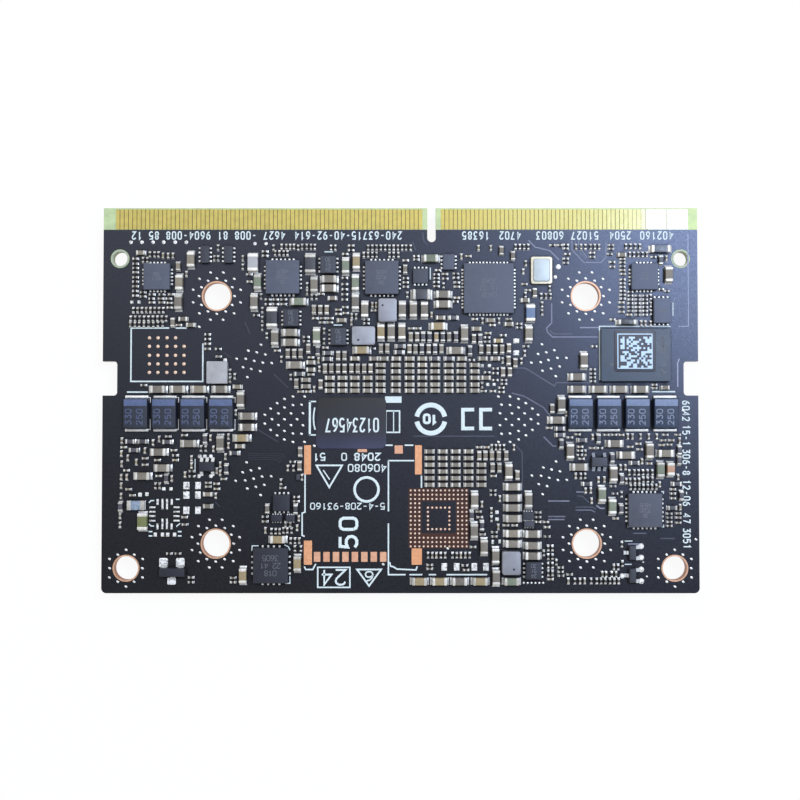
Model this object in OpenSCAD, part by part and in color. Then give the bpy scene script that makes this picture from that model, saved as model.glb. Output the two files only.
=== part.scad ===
// A compute module card for an artificial intelligence development board.
// The card lies flat with its contact edge towards +Y and its fine components up.
// The origin is the middle of the card in plan, at the level that the card rests on.

/* [Card] */
// Width of the card along its contact edge
card_w = 69.6; // [69.4:0.1:69.8]
// Depth of the card from the plain edge to the contact edge
card_h = 45; // [44.9:0.1:45.2]
// Thickness of the bare laminate
core_t = 1.12; // [1.0:0.02:1.3]
// Thickness of each solder mask layer and of the copper that lies level with it
mask_t = 0.04; // [0.03:0.01:0.06]
// Radius of the two corners at the plain edge
corner_r = 0.6; // [0.2:0.1:1]

/* [Contact edge] */
// Distance from one contact to the next
contact_pitch = 0.5; // [0.49:0.005:0.5]
// Width of one contact
contact_w = 0.42; // [0.34:0.02:0.44]
// Length of one contact
contact_l = 2.35; // [2:0.05:2.4]
// Bare laminate between the contacts and the edge
contact_inset = 0.15; // [0.1:0.05:0.2]
// Contacts left of the key notch on each face
left_contacts = 72; // [60:1:72]
// Contacts right of the key notch on the upper face
right_contacts = 48; // [40:1:48]
// Contacts right of the key notch on the lower face
right_contacts_below = 58; // [40:1:58]
// Centre of the key notch from the left edge
key_x = 38.45; // [38.4:0.05:38.5]
// Width of the key notch
key_w = 1; // [0.9:0.05:1.1]
// Depth of the key notch
key_d = 4; // [3.6:0.1:4]
// Depth of the strip along the contact edge that carries no mask
bare_strip = 2.55; // [2.55:0.05:2.7]

/* [Side notches] */
// Width of the retaining notch in each side
notch_w = 4; // [3.8:0.1:4.2]
// Depth of the retaining notch
notch_d = 1.7; // [1.5:0.1:1.7]
// Middle of the retaining notch from the plain edge
notch_y = 25; // [24.9:0.1:25.1]
// Radius in the inner corners of the retaining notch
notch_r = 0.4; // [0.2:0.1:0.6]

/* [Holes] */
// Diameter of the latch holes near the contact edge
latch_d = 1.7; // [1.6:0.1:1.9]
// Latch hole centre from the side edge
latch_inset_x = 1.95; // [1.9:0.05:2]
// Latch hole centre from the contact edge
latch_inset_y = 5.95; // [5.9:0.05:6]
// Mask pulled back round the latch holes
latch_rim = 0.25; // [0.1:0.05:0.3]
// Diameter of the four heat sink holes
sink_d = 3.2; // [3.1:0.1:3.4]
// Heat sink hole spacing along the card
sink_dx = 43.2; // [43.1:0.1:43.3]
// Heat sink hole spacing across the card
sink_dy = 28.9; // [28.8:0.1:29]
// Middle of the heat sink holes and of the processor, from the left edge
middle_x = 34.9; // [34.8:0.05:35]
// Middle of the heat sink holes and of the processor, from the plain edge
middle_y = 20.2; // [20.1:0.05:20.3]
// Diameter of the two mounting holes near the plain edge
mount_d = 2.8; // [2.7:0.05:2.9]
// Mounting hole centre from the side edge
mount_inset_x = 2.87; // [2.85:0.01:2.9]
// Mounting hole centre from the plain edge
mount_inset_y = 2.9; // [2.85:0.05:3]
// Width of the bare copper ring round a plated hole
ring_w = 0.17; // [0.1:0.01:0.2]
// Wall of the copper plating in a hole
plating_t = 0.06; // [0.04:0.01:0.08]

/* [Chip sizes] */
// Length of a large chip
large_l = 1.7; // [1.5:0.05:1.75]
// Width of a large chip
large_w = 0.85; // [0.75:0.05:0.9]
// Height of a large chip
large_t = 0.8; // [0.6:0.05:0.9]
// Length of a medium chip
medium_l = 1; // [0.9:0.02:1.04]
// Width of a medium chip
medium_w = 0.5; // [0.44:0.02:0.54]
// Height of a medium chip
medium_t = 0.5; // [0.35:0.05:0.6]
// Length of a small chip
small_l = 0.6; // [0.54:0.02:0.62]
// Width of a small chip
small_w = 0.26; // [0.22:0.02:0.3]
// Height of a small chip
small_t = 0.28; // [0.2:0.02:0.32]
// Length of the metal end on a large chip
large_end = 0.4; // [0.3:0.05:0.45]
// Length of the metal end on a medium chip
medium_end = 0.25; // [0.2:0.05:0.3]
// Body set back from the faces of the metal ends
end_lip = 0.02; // [0.01:0.01:0.04]

/* [Polymer capacitors] */
// Polymer capacitor body width
polymer_w = 2.85; // [2.7:0.05:2.9]
// Polymer capacitor body length
polymer_l = 3.5; // [3.3:0.1:3.5]
// Polymer capacitor height
polymer_t = 1.1; // [0.9:0.1:1.9]
// Taper of each side of the polymer capacitor body
polymer_draft = 0.04; // [0.02:0.01:0.1]
// Length of the terminal beyond each end of the body
polymer_foot = 0.36; // [0.2:0.02:0.4]
// Height of the terminal
polymer_foot_t = 0.3; // [0.2:0.05:0.5]
// Terminal set back from the sides of the body
polymer_foot_inset = 0.06; // [0.02:0.02:0.2]
// Centre distance in a row of polymer capacitors
polymer_pitch = 3.3; // [3.25:0.05:3.3]

/* [Integrated circuits] */
// Height of a flat package without legs
flat_t = 0.85; // [0.6:0.05:1]
// Height of the metal foot beside a package
foot_t = 0.2; // [0.1:0.05:0.25]
// Reach of the metal foot beside a package
foot_l = 0.28; // [0.2:0.02:0.3]
// Width of the metal foot
foot_w = 0.24; // [0.18:0.02:0.26]
// Height of a small flat chip
logic_t = 0.5; // [0.4:0.05:0.6]
// Height of a level shifter
shifter_t = 0.55; // [0.4:0.05:0.6]
// Height of the tallest small flat chip
tall_logic_t = 0.7; // [0.5:0.05:0.8]
// Height of a black two-ended chip
black_t = 0.7; // [0.5:0.05:0.8]
// Height of a coloured two-ended chip
coloured_t = 0.8; // [0.6:0.05:0.9]

/* [Packages with legs] */
// Height of the supply transistor
supply_t = 1; // [0.8:0.05:1.1]
// Height of a regulator
regulator_t = 0.8; // [0.7:0.05:1]
// Height of a dual transistor
dual_t = 0.7; // [0.6:0.05:0.9]
// Taper of a moulded body with legs
legged_draft = 0.1; // [0.05:0.01:0.12]
// Metal thickness of a leg
leg_t = 0.12; // [0.08:0.01:0.14]

/* [Flat parts] */
// Height of the flash memory package
flash_t = 0.8; // [0.7:0.05:1]
// Height of an inductor on the upper face
inductor_t = 1.2; // [1:0.1:1.5]
// Thickness of a paper label
label_t = 0.08; // [0.05:0.01:0.1]

/* [Lower face] */
// Height of the power inductors, which the card rests on
coil_t = 2; // [1.9:0.1:2.4]
// Width of a power inductor
coil_w = 4.4; // [4:0.1:4.6]
// Width of the processor substrate
processor_w = 23; // [22:0.5:23.5]
// Thickness of the processor substrate
processor_t = 0.9; // [0.8:0.05:1]
// Width of the metal frame round the processor die
frame_w = 2.5; // [2:0.1:3]
// Thickness of the metal frame round the processor die
frame_t = 0.6; // [0.5:0.05:0.7]
// Length of the processor die
die_l = 12.5; // [10:0.5:14]
// Width of the processor die
die_w = 11; // [9:0.5:13]
// Height of the processor die
die_t = 0.75; // [0.6:0.05:0.8]
// Width of a memory package
memory_w = 11; // [10:0.5:11.5]
// Length of a memory package
memory_l = 14; // [12:0.5:15]
// Height of a memory package
memory_t = 0.9; // [0.7:0.1:1.2]
// Gap between the processor and each memory package
memory_gap = 2.9; // [2.7:0.1:3]
// Width of a power controller package
controller_w = 6; // [5.5:0.1:6.2]

/* [Hidden] */
$fn = 48;

// How far a cut reaches beyond the edge of the card
beyond = 1;

// Levels from the surface that the card rests on
low_z = coil_t;
core_z = low_z + mask_t;
copper_z = core_z + core_t;
top_z = copper_z + mask_t;

large_chip = [large_l, large_w, large_t];
medium_chip = [medium_l, medium_w, medium_t];
small_chip = [small_l, small_w, small_t];

// Plan places are millimetres from the left edge and from the plain edge
contact_y = card_h - contact_inset - contact_l / 2;
first_left = 1.65;
first_right = 39.75;
wide_contacts = [[64.78, 2.35], [67.32, 2.4]];
sink_points = [for (sx = [-1, 1], sy = [-1, 1])
    [middle_x + sx * sink_dx / 2, middle_y + sy * sink_dy / 2]];
mount_points = [[mount_inset_x, mount_inset_y], [card_w - mount_inset_x, mount_inset_y]];
latch_points = [for (x = [latch_inset_x, card_w - latch_inset_x]) [x, card_h - latch_inset_y]];
polymer_y = 20.9;
polymer_points = [for (first = [4.05, 55.75], i = [0:3]) [first + i * polymer_pitch, polymer_y]];

// Chips and packages are listed where their tops show from a viewpoint above this place
view_point = [38, -2];
view_height = 145;
// The place on the card below such a top at height h
function upright(p, h) = p + h * (view_point - p) / view_height;

function row(xs, y) = [for (x = xs) [x, y]];
function column(x, ys) = [for (y = ys) [x, y]];
function grid(xs, ys) = [for (x = xs, y = ys) [x, y]];
function run(first, step, count) = [for (i = [0:count - 1]) first + i * step];

// Large capacitors that lie along the card
large_along = concat(
    row([26.4], 36.8), row([26.4], 35.72), row([39.8], 35.0), row([39.8], 33.85),
    row([6.35, 8.75, 11.2, 13.7], 23.85), row([55.5, 58.0, 60.45, 62.9], 23.85),
    row([21.85], 30.5), row([21.85], 29.35), row([22.45], 26.7), row([30.25], 28.45),
    row([39.2], 31.25), row([41.3], 28.4), row([55.5], 25.3),
    row([16.85], 20.7), row([16.85], 19.4), row([16.2], 18.15), row([10.05], 17.5),
    row([6.5], 16.5), row([6.95], 14.65), row([4.6], 13.7),
    row([53.1], 20.25), row([55.7], 14.75), row([59.85], 17.5), row([61.2], 16.15), row([65.8], 16.35),
    column(47.9, [12.45, 11.15, 10.0, 8.75, 7.0, 5.8]), column(50.2, [6.95, 5.6, 4.4]),
    row([20.45], 6.3), row([37.0, 39.35, 41.7, 44.1], 1.42)
);
// Large capacitors that lie across the card
large_across = concat(
    row([10.15], 39.1), row([8.8], 36.4), row([8.7], 34.1), row([17.6], 34.1), row([24.65], 36.15),
    row([29.5], 34.1), row([66.3], 37.35),
    row([20.05], 29.9), row([30.6, 35.0, 36.3, 37.6], 33.2),
    row([32.5, 33.7, 34.95], 30.6), row([42.3, 49.85], 30.4), row([56.3], 27.25),
    row([16.05], 22.65), row([13.7], 17.55), row([53.65], 22.1), row([54.65], 16.6),
    row([63.95], 16.65), row([59.7], 13.95), row([47.45], 14.25),
    row([16.4], 2.1), row([22.75], 3.5), row([45.95], 1.9), row([45.9], 4.4),
    row([43.45], 10.9), row([43.4], 7.3), row([44.55], 5.45), row([49.75], 10.9)
);
green_along = [[22.85, 34.15], [38.35, 39.25], [47.75, 1.42]];
green_across = [[24.95, 30.1], [18.0, 36.45], [28.35, 38.35], [29.5, 36.35], [29.6, 38.85], [65.2, 14.45],
    [58.35, 11.55], [59.55, 10.15]];

// Medium capacitors that lie along the card
medium_along = concat(
    row([4.3], 39.85), row([26.8], 34.5), row([60.8], 39.6), row([49.4], 34.25),
    row([9.3], 32.05), row([10.2], 31.35), row([15.7], 24.1), row([23.7], 24.9), row([23.7], 24.15),
    row([24.3], 26.95), row([24.3], 26.1), row([27.9], 31.9), row([29.45, 31.7, 32.85, 34.3], 27.4),
    row([39.5], 32.2), row([43.7], 30.9), row([46.25], 29.5), row([45.35], 31.9), row([47.5], 31.45),
    row([44.8], 25.15), row([65.75], 24.0), row([35.85, 37.35, 42.0, 44.45, 45.9], 27.4),
    grid([26.5, 28.0, 29.45, 30.95], [25.15, 24.35, 23.65]),
    grid([32.45, 34.25, 35.85, 37.35, 38.85, 40.45, 41.9, 43.5], [26.65, 25.9, 25.15, 24.35, 23.65]),
    grid([38.2, 39.75, 41.25, 42.75], run(12.64, 0.78, 6)), column(44.25, run(12.64, 0.78, 4)),
    row([16.0], 17.15), row([12.3], 11.55), row([12.3], 10.15)
);
// Medium capacitors that lie across the card
medium_across = concat(
    row([8.7], 38.25), row([35.35], 37.9), row([46.65], 40.1), row([48.0], 39.5), row([50.55], 35.15),
    row([8.1], 31.65), row([21.6, 22.35, 23.1], 28.0), row([24.65, 25.4, 26.15], 33.15),
    row([25.45], 24.4), row([24.0], 28.6), row([27.5, 28.25], 27.75),
    row([32.5, 33.25], 28.6), row([25.95, 26.7, 27.5, 28.25, 29.05, 29.8, 30.55, 31.3], 26.25),
    row([36.0, 36.75, 39.0, 40.5], 29.95), row([35.85, 36.55, 38.1, 39.6], 28.55),
    row([44.25, 45.1, 45.9, 46.7], 28.5), row([43.4], 29.75), row([47.5], 28.65), row([47.45], 27.2),
    row([48.25], 26.9), row([46.8, 47.6], 25.85), row([22.6], 24.5),
    row([23.07], 16.5), row([23.0], 14.85), row([44.0, 44.72, 45.48, 46.28, 47.15], 16.05),
    row([45.55, 46.35], 14.65), row([48.45], 13.75), row([52.55], 21.55), row([19.25], 9.85)
);
// Medium resistors that lie along the card
resistor_along = concat(
    row([22.95], 25.6), row([26.3], 28.05), row([26.2], 27.35), row([34.75], 28.85), row([34.65], 28.15),
    row([38.8, 40.5], 27.4), row([41.0], 32.2),
    row([3.2, 4.65], 17.7), row([7.55], 17.65), row([3.65], 16.7), row([15.4], 16.35),
    row([53.45], 19.2), row([53.45], 18.45), row([56.0], 17.85), row([62.15], 15.2),
    row([56.55], 12.75), row([67.05], 12.75), row([66.5], 9.95)
);
// Medium resistors that lie across the card
resistor_across = concat(
    row([25.1], 28.35), row([37.45, 38.2, 39.75, 41.3], 29.95), row([37.3, 38.85], 28.55),
    row([42.95], 28.35), row([44.15], 29.75), row([11.95], 18.0), row([7.45], 13.4), row([14.45], 14.5),
    row([2.1], 10.1), row([22.55], 9.8), row([43.1], 9.1), row([44.3], 7.9),
    row([53.6], 17.45), row([57.95], 18.05), row([59.55], 15.8), row([60.65], 13.35), row([60.55], 9.85),
    row([67.4], 16.7), row([67.35], 15.5), row([67.6], 11.4), row([65.35], 39.0)
);

// Small capacitors that lie along the card
small_along = concat(
    row([3.7], 37.5), row([35.4], 38.9), row([39.2], 37.75), row([40.0], 37.3), row([41.4], 36.3),
    row([41.4], 35.8), row([41.4], 34.5), row([42.75], 39.4), row([49.35], 36.1), row([49.75], 35.4),
    row([60.9], 37.3), row([25.5], 34.95), row([13.5], 27.6), row([20.35], 28.3), row([24.3], 27.5),
    row([24.3], 25.5), row([26.0], 28.65), row([23.1, 24.0], 23.5), row([24.8, 25.7, 26.55], 32.1),
    row([25.6, 26.5], 31.6), row([27.5], 33.1), row([27.5], 32.6), row([28.3], 33.4), row([28.35], 32.7),
    row([7.75], 33.35), row([7.75], 33.9), row([31.65], 33.0), row([36.05, 36.85], 30.9),
    row([45.05], 30.35),
    row([45.55], 31.3), row([43.5, 47.5], 32.0), row([44.5, 45.6], 23.55),
    row([9.55], 18.4), row([7.65], 18.25), row([2.45], 17.0), row([8.3], 16.65), row([8.5], 15.5),
    row([6.4], 15.5), row([4.95], 15.7), row([4.95], 14.95), row([2.8], 14.3), row([6.55], 13.65),
    row([3.05], 12.1), row([14.15], 13.3), row([12.35], 12.85), row([13.3], 12.75), row([12.35], 12.4),
    row([13.35], 12.15), row([3.5], 11.4), row([9.6], 8.85), row([9.65], 8.0),
    row([44.0, 44.85], 17.0), row([45.65], 13.65), row([52.2], 19.25), row([54.6], 18.15),
    row([55.5], 18.5),
    row([55.8], 17.05), row([55.95], 15.65), row([58.85, 59.75, 60.6], 18.45), row([65.75, 67.2], 18.45),
    row([65.5, 66.45], 17.8), row([62.6], 17.4), row([61.65], 17.05), row([62.75], 16.75),
    row([65.3], 17.25),
    row([66.2], 17.3), row([57.2], 16.9), row([63.85], 15.1), row([43.9], 9.5), row([44.05], 8.85),
    row([44.35], 6.85), row([47.1], 7.9), row([48.1], 7.9), row([59.9], 8.7), row([67.2], 9.3),
    row([67.2], 8.8),
    row([66.6], 11.6), row([66.6], 11.05), row([64.5], 24.3), row([64.5], 23.9), row([17.05], 37.25),
    row([17.1], 36.4), row([8.8], 31.3), row([7.9], 34.9), row([51.75], 8.3),
    column(60.7, [33.95, 33.4, 32.85]), row([61.6], 32.5), row([52.25], 1.65), row([51.9], 7.7),
    row([66.6], 12.1), row([67.2], 8.2)
);
// Small capacitors that lie across the card
small_across = concat(
    row([6.95, 7.55, 8.1], 39.45), row([9.7], 37.3), row([41.95], 39.35), row([43.95, 45.4], 40.35),
    row([49.2], 37.6), row([24.7], 23.8), row([25.2], 27.15), row([25.3], 26.15), row([29.1], 32.35),
    row([29.05], 31.6), row([31.5, 31.95], 33.65), row([38.45], 32.5), row([63.0, 63.5, 64.1], 31.5),
    row([15.55], 21.05), row([6.6], 17.95), row([5.9], 17.55), row([2.25], 17.75), row([4.95], 16.6),
    row([2.2], 16.25), row([2.95], 15.75), row([2.25], 15.05), row([3.95], 15.25), row([2.2, 2.85], 13.5),
    row([2.2], 12.5), row([8.1], 13.35), row([10.4], 15.7), row([10.4], 14.85), row([9.65], 13.8),
    row([12.6], 18.1), row([14.7], 18.25), row([14.7], 17.2), row([12.95], 16.8), row([14.35], 15.9),
    row([13.75], 14.95), row([13.35], 14.25), row([13.75], 14.0), row([2.2], 11.3), row([2.1], 9.0),
    row([2.1], 7.95), row([13.25], 11.35), row([54.17], 20.9), row([57.25], 18.2),
    row([61.35, 61.9, 62.85, 63.8, 64.75], 18.25), row([67.4], 17.75), row([63.0], 15.35),
    row([67.2], 13.5), row([60.5, 61.05], 14.65), row([55.25], 13.65), row([57.9, 58.6], 13.2),
    row([22.95], 8.7), row([44.3], 10.35), row([46.4], 11.0), row([46.2], 7.7), row([57.1], 10.75),
    row([67.45], 10.0), row([22.75], 7.6), row([19.05], 7.3), row([54.35, 56.25], 1.42),
    row([38.97, 41.83], 4.42), row([66.0], 39.15),
    row([56.4, 57.0], 11.95), row([65.05], 12.65)
);
// Small resistors that lie along the card
small_resistor_along = concat(
    column(3.7, [39.1, 38.5, 38.0, 36.9, 36.4, 35.85, 35.3, 34.75]),
    column(28.25, [36.85, 36.1, 35.5, 34.9, 34.3]),
    column(18.9, [39.95, 39.45]), column(29.0, [40.65, 40.1]), row([28.3], 39.65), row([36.65], 39.4),
    row([36.65], 39.0), column(35.4, [36.8, 36.3, 35.8]), column(39.0, [37.25, 36.8, 36.35, 35.85]),
    row([40.05], 36.75), column(41.3, [37.35, 36.85]), column(54.2, [40.75, 40.3, 39.1, 38.6]),
    row([54.4], 39.65), column(57.3, [39.8, 39.3]), column(59.5, [40.7, 40.25]), row([59.35], 39.65),
    column(59.65, [38.7, 38.15]),
    column(60.85, [39.05, 38.65, 38.2, 37.75, 36.65, 36.2, 35.75, 35.3, 34.85, 34.4]),
    column(12.2, [30.2, 29.65, 29.1, 28.5]), row([13.45], 28.5), row([4.75], 24.25), row([17.9], 32.45),
    column(23.75, [29.9, 29.4]), column(30.8, [31.95, 31.5]), row([31.5], 28.55), row([46.85], 30.1),
    column(48.7, [31.45, 31.0]), row([49.5], 28.8), row([43.15], 27.2), row([44.95], 25.75),
    column(45.9, [26.2, 25.65, 24.85]), column(46.9, [24.85, 24.4]), column(46.6, [23.95, 23.45]),
    column(57.3, [26.1, 25.6, 25.15, 24.7]), row([57.5], 28.8), column(44.95, [29.85, 29.35]),
    row([22.2], 15.3), row([21.05], 12.25), row([10.45], 14.2), row([10.45], 13.6), row([8.5], 16.05),
    row([55.75], 16.6), row([55.75], 16.1), column(19.0, [8.9, 8.35]), column(38.2, [3.3, 2.85]),
    column(22.65, [11.2, 10.7]), column(53.45, [3.0, 2.5]), column(10.4, [1.85, 1.3]),
    column(15.3, [1.8, 1.3]),
    column(66.15, [9.25, 8.8, 8.3, 7.85]), row([54.5], 2.2), column(50.85, [9.4, 8.85, 8.3]),
    column(45.75, [7.1, 6.6]), column(45.6, [11.45, 11.95]), row([5.65, 6.8], 34.9),
    row([5.6, 6.7, 7.6], 34.4), row([5.65, 6.8], 33.95), column(4.6, [35.15, 34.65]),
    grid([19.25, 20.15, 21.1], [34.3, 33.75]),
    grid([61.75, 62.6, 63.45], [34.75, 34.3, 33.85, 33.4, 32.95]), row([61.75], 35.2),
    row([62.6, 63.45], 32.5), row([64.5], 39.3), row([53.5], 2.05), row([51.9], 6.6), row([59.6], 12.45),
    row([59.85], 11.6), row([59.65], 31.95), row([58.1], 16.9),
    row([65.35], 35.5), row([66.0], 35.3), row([52.65, 53.5], 40.7), row([41.25], 34.05),
    row([7.85, 8.85], 4.62), row([42.3], 3.25), row([42.45], 2.72), row([43.25], 5.38)
);
// Small resistors that lie across the card
small_resistor_across = concat(
    row([4.6, 5.1], 38.95), row([5.4, 5.95, 6.4], 39.6), row([13.4], 40.4), row([12.95, 13.4], 39.15),
    row([16.3], 39.15), row([16.3], 38.15), row([19.9, 22.8], 40.4),
    row([20.85, 21.4, 21.85, 22.3, 23.25, 23.8, 24.3, 24.75], 40.5),
    row([20.1, 20.6, 21.1, 21.55], 39.75), row([26.65, 27.15], 40.4), row(run(31.0, 0.5, 9), 40.4),
    row([30.5, 31.0, 31.5, 32.0, 33.5, 34.0, 34.55], 39.55), row([35.45, 36.0], 40.4),
    row([23.85], 35.95), row([23.85], 35.15),
    row([24.4, 24.95], 34.6), row([35.6], 34.85), row([39.85], 35.95), row([48.3, 48.8, 49.3, 49.8], 40.5),
    row([49.5], 38.55), row([49.45], 34.85), row([55.4, 56.0, 56.5, 57.1, 57.6, 58.1], 40.5),
    row([61.25, 61.8, 62.35, 62.9], 40.55), row(run(61.7, 0.5, 5), 39.6),
    column(64.12, [34.6, 33.7, 32.8]), row([52.95], 3.6), row([60.6], 5.7), row([60.6], 11.5),
    row([56.4], 16.35),
    row(run(3.5, 0.5, 8), 33.05), row(run(3.2, 0.52, 9), 32.05), row([3.15, 3.7, 4.2, 4.75], 31.35),
    row([5.3, 5.85], 31.35),
    row([6.4, 6.95], 31.4), row([14.85], 25.8), row([14.85], 24.9), row([15.4], 25.3),
    row([18.6], 33.05), row([18.6], 32.0),
    row([18.6], 31.0), row([19.15], 30.05), row([20.85], 27.3), row([21.95], 25.2),
    row([25.85], 30.6), row([25.85], 29.4), row([29.6], 32.3), row([46.35, 44.4], 31.8),
    row([46.75], 27.15),
    row([48.95], 27.1), row([44.35], 24.25), row([49.35], 28.0), row([51.4], 33.7), row([51.4], 32.8),
    row([48.05, 46.9, 46.4, 45.45, 45.95], 16.98), row([21.65, 22.3], 14.55), row([20.85], 12.95),
    row([23.3], 13.5), row([6.2, 6.7], 12.5), row([11.5, 12.05], 16.85), row([55.85, 56.35], 13.65),
    row([61.5, 62.1, 62.6, 63.1, 63.65, 64.2], 14.05), row([61.15, 61.6, 62.15, 62.65], 13.05),
    row([63.15, 63.65, 64.2], 13.2), row(run(61.65, 0.5, 7), 12.35),
    row([38.0, 38.5, 39.5, 40.0, 40.85, 41.35, 42.35, 42.85], 4.42), row([45.4], 9.6), row([45.4], 8.65),
    row([52.0, 52.5], 5.25), row([52.0, 52.5], 4.25), row([52.0, 52.5], 3.25), row([52.0, 52.5], 2.35),
    row([55.1, 55.7, 57.0, 57.65, 58.15, 58.65, 59.2, 59.7, 60.2], 1.42),
    row([58.3, 58.75, 59.4, 59.9], 2.2), row([59.65, 60.15], 3.05), row([60.65], 3.45),
    row([51.5], 4.68), row([18.45], 34.65), row([51.3, 51.85, 52.4], 34.7), row([52.3], 35.6),
    row([19.75, 20.25, 20.7], 7.2), row([21.15, 21.6, 22.1], 7.3),
    row([21.4, 21.95], 8.0), row([22.0, 22.5, 23.0], 6.1), row([22.5, 23.2], 5.2)
);

// Packages without legs: centre in plan, size, then pitch and count of the feet on a side
square_points = [[20.95, 37.05], [32.6, 37.0], [63.35, 9.72]];
sensor_points = [[6.2, 37.1], [63.45, 37.1]];
hub_point = [45.15, 35.72];
hub_w = 5.8;
hub_feet = [0.4, 12];
square_w = 3.9;
square_pack_feet = [0.5, 6];
sensor_w = 3.05;
sensor_feet = [0.42, 5];
wide_pitch_point = [19.65, 3.3];
wide_pitch_w = 4.05;
wide_pitch_feet = [0.65, 4];
clock_point = [65.45, 33.1];
clock_size = [1.9, 2.9];
clock_feet = [0.5, 4];
switch_points = [[26.3, 38.5], [21.95, 32.25], [27.5, 30.05], [50.3, 2.7]];
switch_size = [1.8, 2];
switch_feet_row = [0.5, 4];
logic_point = [20.9, 10.58];
logic_size = [1.95, 1.9];
shifter_points = [[11.85, 39.65], [14.6, 39.65]];
shifter_size = [1, 2];
// Small chips without visible feet: centre, then length, width
small_logic = [
    [[37.15, 37.1], [1.75, 1.7]], [[40.45, 38.75], [1.35, 1.8]], [[20.35, 8.75], [1.3, 0.75]],
    [[21.95, 8.75], [1.05, 0.7]], [[49.7, 9.05], [1.3, 0.9]], [[49.8, 8.05], [1.2, 0.65]],
    [[22.85, 13.55], [0.42, 0.7]]
];

// Feet of the first two of these chips, which run across and along the card
logic_feet = [0.45, 4];

// The upright part of a moulded body's sides, in shares of its height
legged_rise = [0.15, 0.55];
// Where a leg bends down, in shares of its reach
leg_knee = 0.4;
// Packages with legs: centre, then size along X and Y, then leg width, reach and height at the body
supply_point = [8.15, 2.5];
supply_size = [3.05, 1.05];
supply_leg = [0.6, 0.8, 0.45];
supply_leg_x = 0.98;
regulator_points = [[12.15, 14.8], [58.05, 15.35]];
regulator_size = [1.9, 1.15];
regulator_leg = [0.36, 0.5, 0.36];
regulator_leg_x = 0.65;
dual_points = [[61.85, 4.75], [61.85, 2.1]];
dual_size = [0.85, 1.7];
dual_leg = [0.42, 0.55, 0.32];
dual_leg_y = 0.64;

// Larger passive parts: centre, then length, width
crystal_point = [51.35, 37.8];
crystal_size = [2.5, 3.2, 0.6];
lid_t = 0.18;
lid_inset = 0.25;
filter_point = [3.9, 10.25];
filter_size = [2, 1.1, 0.5];
inductor_points = [[33.27, 33.2, 90], [30.45, 30.2, 0], [47.72, 3.62, 90]];
inductor_size = [2.7, 2.15, inductor_t];
choke_point = [13.3, 25.85];
choke_size = [2.4, 2.6, 1];
black_chips = [
    [[24.2, 38.6], [1.25, 2.1]], [[19.7, 32.25], [1.25, 2.1]], [[37.25, 34.98], [2.05, 1.2]],
    [[65.35, 40.35], [2.2, 0.85]], [[61.35, 31.72], [2.1, 0.6]]
];
coloured_chips = [
    [[50.05, 32.8], [1.05, 1.9]], [[4.65, 8.4], [1.1, 1.95]], [[66.38, 14.5], [0.85, 1.5]],
    [[17.45, 38.75], [1.2, 2.0]]
];
flash_point = [62.35, 27.85];
flash_size = [8.1, 6.1];
flash_label_point = [62.2, 28.3];
flash_label_size = [4.8, 4.8];
card_label_point = [29.05, 19.8];
card_label_size = [8.2, 6];

// Bare copper for a memory card socket that is not fitted
socket_lands = concat(
    [[[23.97, 15.5], [0.8, 3.4]], [[36.9, 15.5], [0.8, 3.4]], [[34.6, 16.7], [0.95, 0.95]],
     [[30.35, 16.57], [1.1, 0.35]], [[24.03, 4.7], [0.95, 2.8]], [[36.7, 4.25], [1.2, 1.9]]],
    [for (i = [0:7]) [[25.1 + i * 1.1, 4.22], [0.75, 1.15]]]
);
// Bare ball lands for a package that is not fitted
ball_pitch = 0.5;
ball_d = 0.3;
ball_first = [36.0, 5.43];
ball_count = 14;
ball_ring = 3;
ball_well = [4, 9];
// Bare lands that are tinned
tinned = concat(
    [for (y = [9.97, 9.45, 8.95, 8.42]) [[5.9, y], [0.75, 0.22]]],
    [for (y = [9.97, 9.45, 8.95, 8.42]) [[8.72, y], [0.75, 0.22]]],
    [for (x = [7.07, 7.6]) [[x, 10.35], [0.25, 1.25]]], [for (x = [7.07, 7.6]) [[x, 8.05], [0.25, 1.25]]],
    [for (x = [6.5, 8.15]) [[x, 10.6], [0.27, 0.7]]], [for (x = [6.5, 8.15]) [[x, 7.75], [0.27, 0.7]]],
    [for (x = [6.25, 7.1, 7.7, 8.5]) [[x, 6.8], [0.42, 0.48]]],
    [for (y = [12.5, 11.4, 9.62]) [[9.85, y], [0.75, 0.88]]],
    [for (y = [12.5, 11.4, 9.62]) [[11.2, y], [0.68, 0.88]]],
    [for (x = [39.9, 41.35, 43.4, 44.75]) [[x, 3.05], [0.68, 0.9]]],
    [[[4.45, 11.45], [0.48, 0.48]], [[5.25, 11.5], [0.42, 0.45]], [[7.2, 12.12], [0.45, 0.4]],
     [[8.05, 12.12], [0.42, 0.4]], [[48.35, 29.4], [0.7, 0.6]], [[48.35, 28.0], [0.7, 0.6]],
     [[44.35, 26.5], [0.4, 0.4]], [[45.2, 26.5], [0.4, 0.4]], [[45.0, 24.3], [0.38, 0.38]],
     [[45.75, 24.3], [0.38, 0.38]], [[46.05, 9.4], [0.42, 0.42]], [[46.05, 8.6], [0.42, 0.42]],
     [[45.55, 5.95], [0.3, 0.5]], [[46.35, 6.0], [0.3, 0.45]], [[3.35, 33.95], [0.4, 0.4]],
     [[4.2, 33.95], [0.4, 0.4]]]
);
// Round test lands, with the radius last
test_points = concat(
    [for (x = [3.2, 4.5, 5.8, 7.05, 8.4, 9.7]) [x, 40.98, 0.22]],
    [for (x = [17.75, 19.05]) [x, 40.82, 0.2]],
    [[53.3, 38.1, 0.3], [52.95, 36.9, 0.22]]
);
// Lands of a flash package that is not fitted
flash_lands = concat(
    row([5.45, 6.45, 7.5, 8.5], 29.75),
    grid([5.45, 6.45, 7.5, 8.5, 9.5], [28.75, 27.7, 26.7, 25.7])
);
flash_land_r = 0.2;

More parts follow.
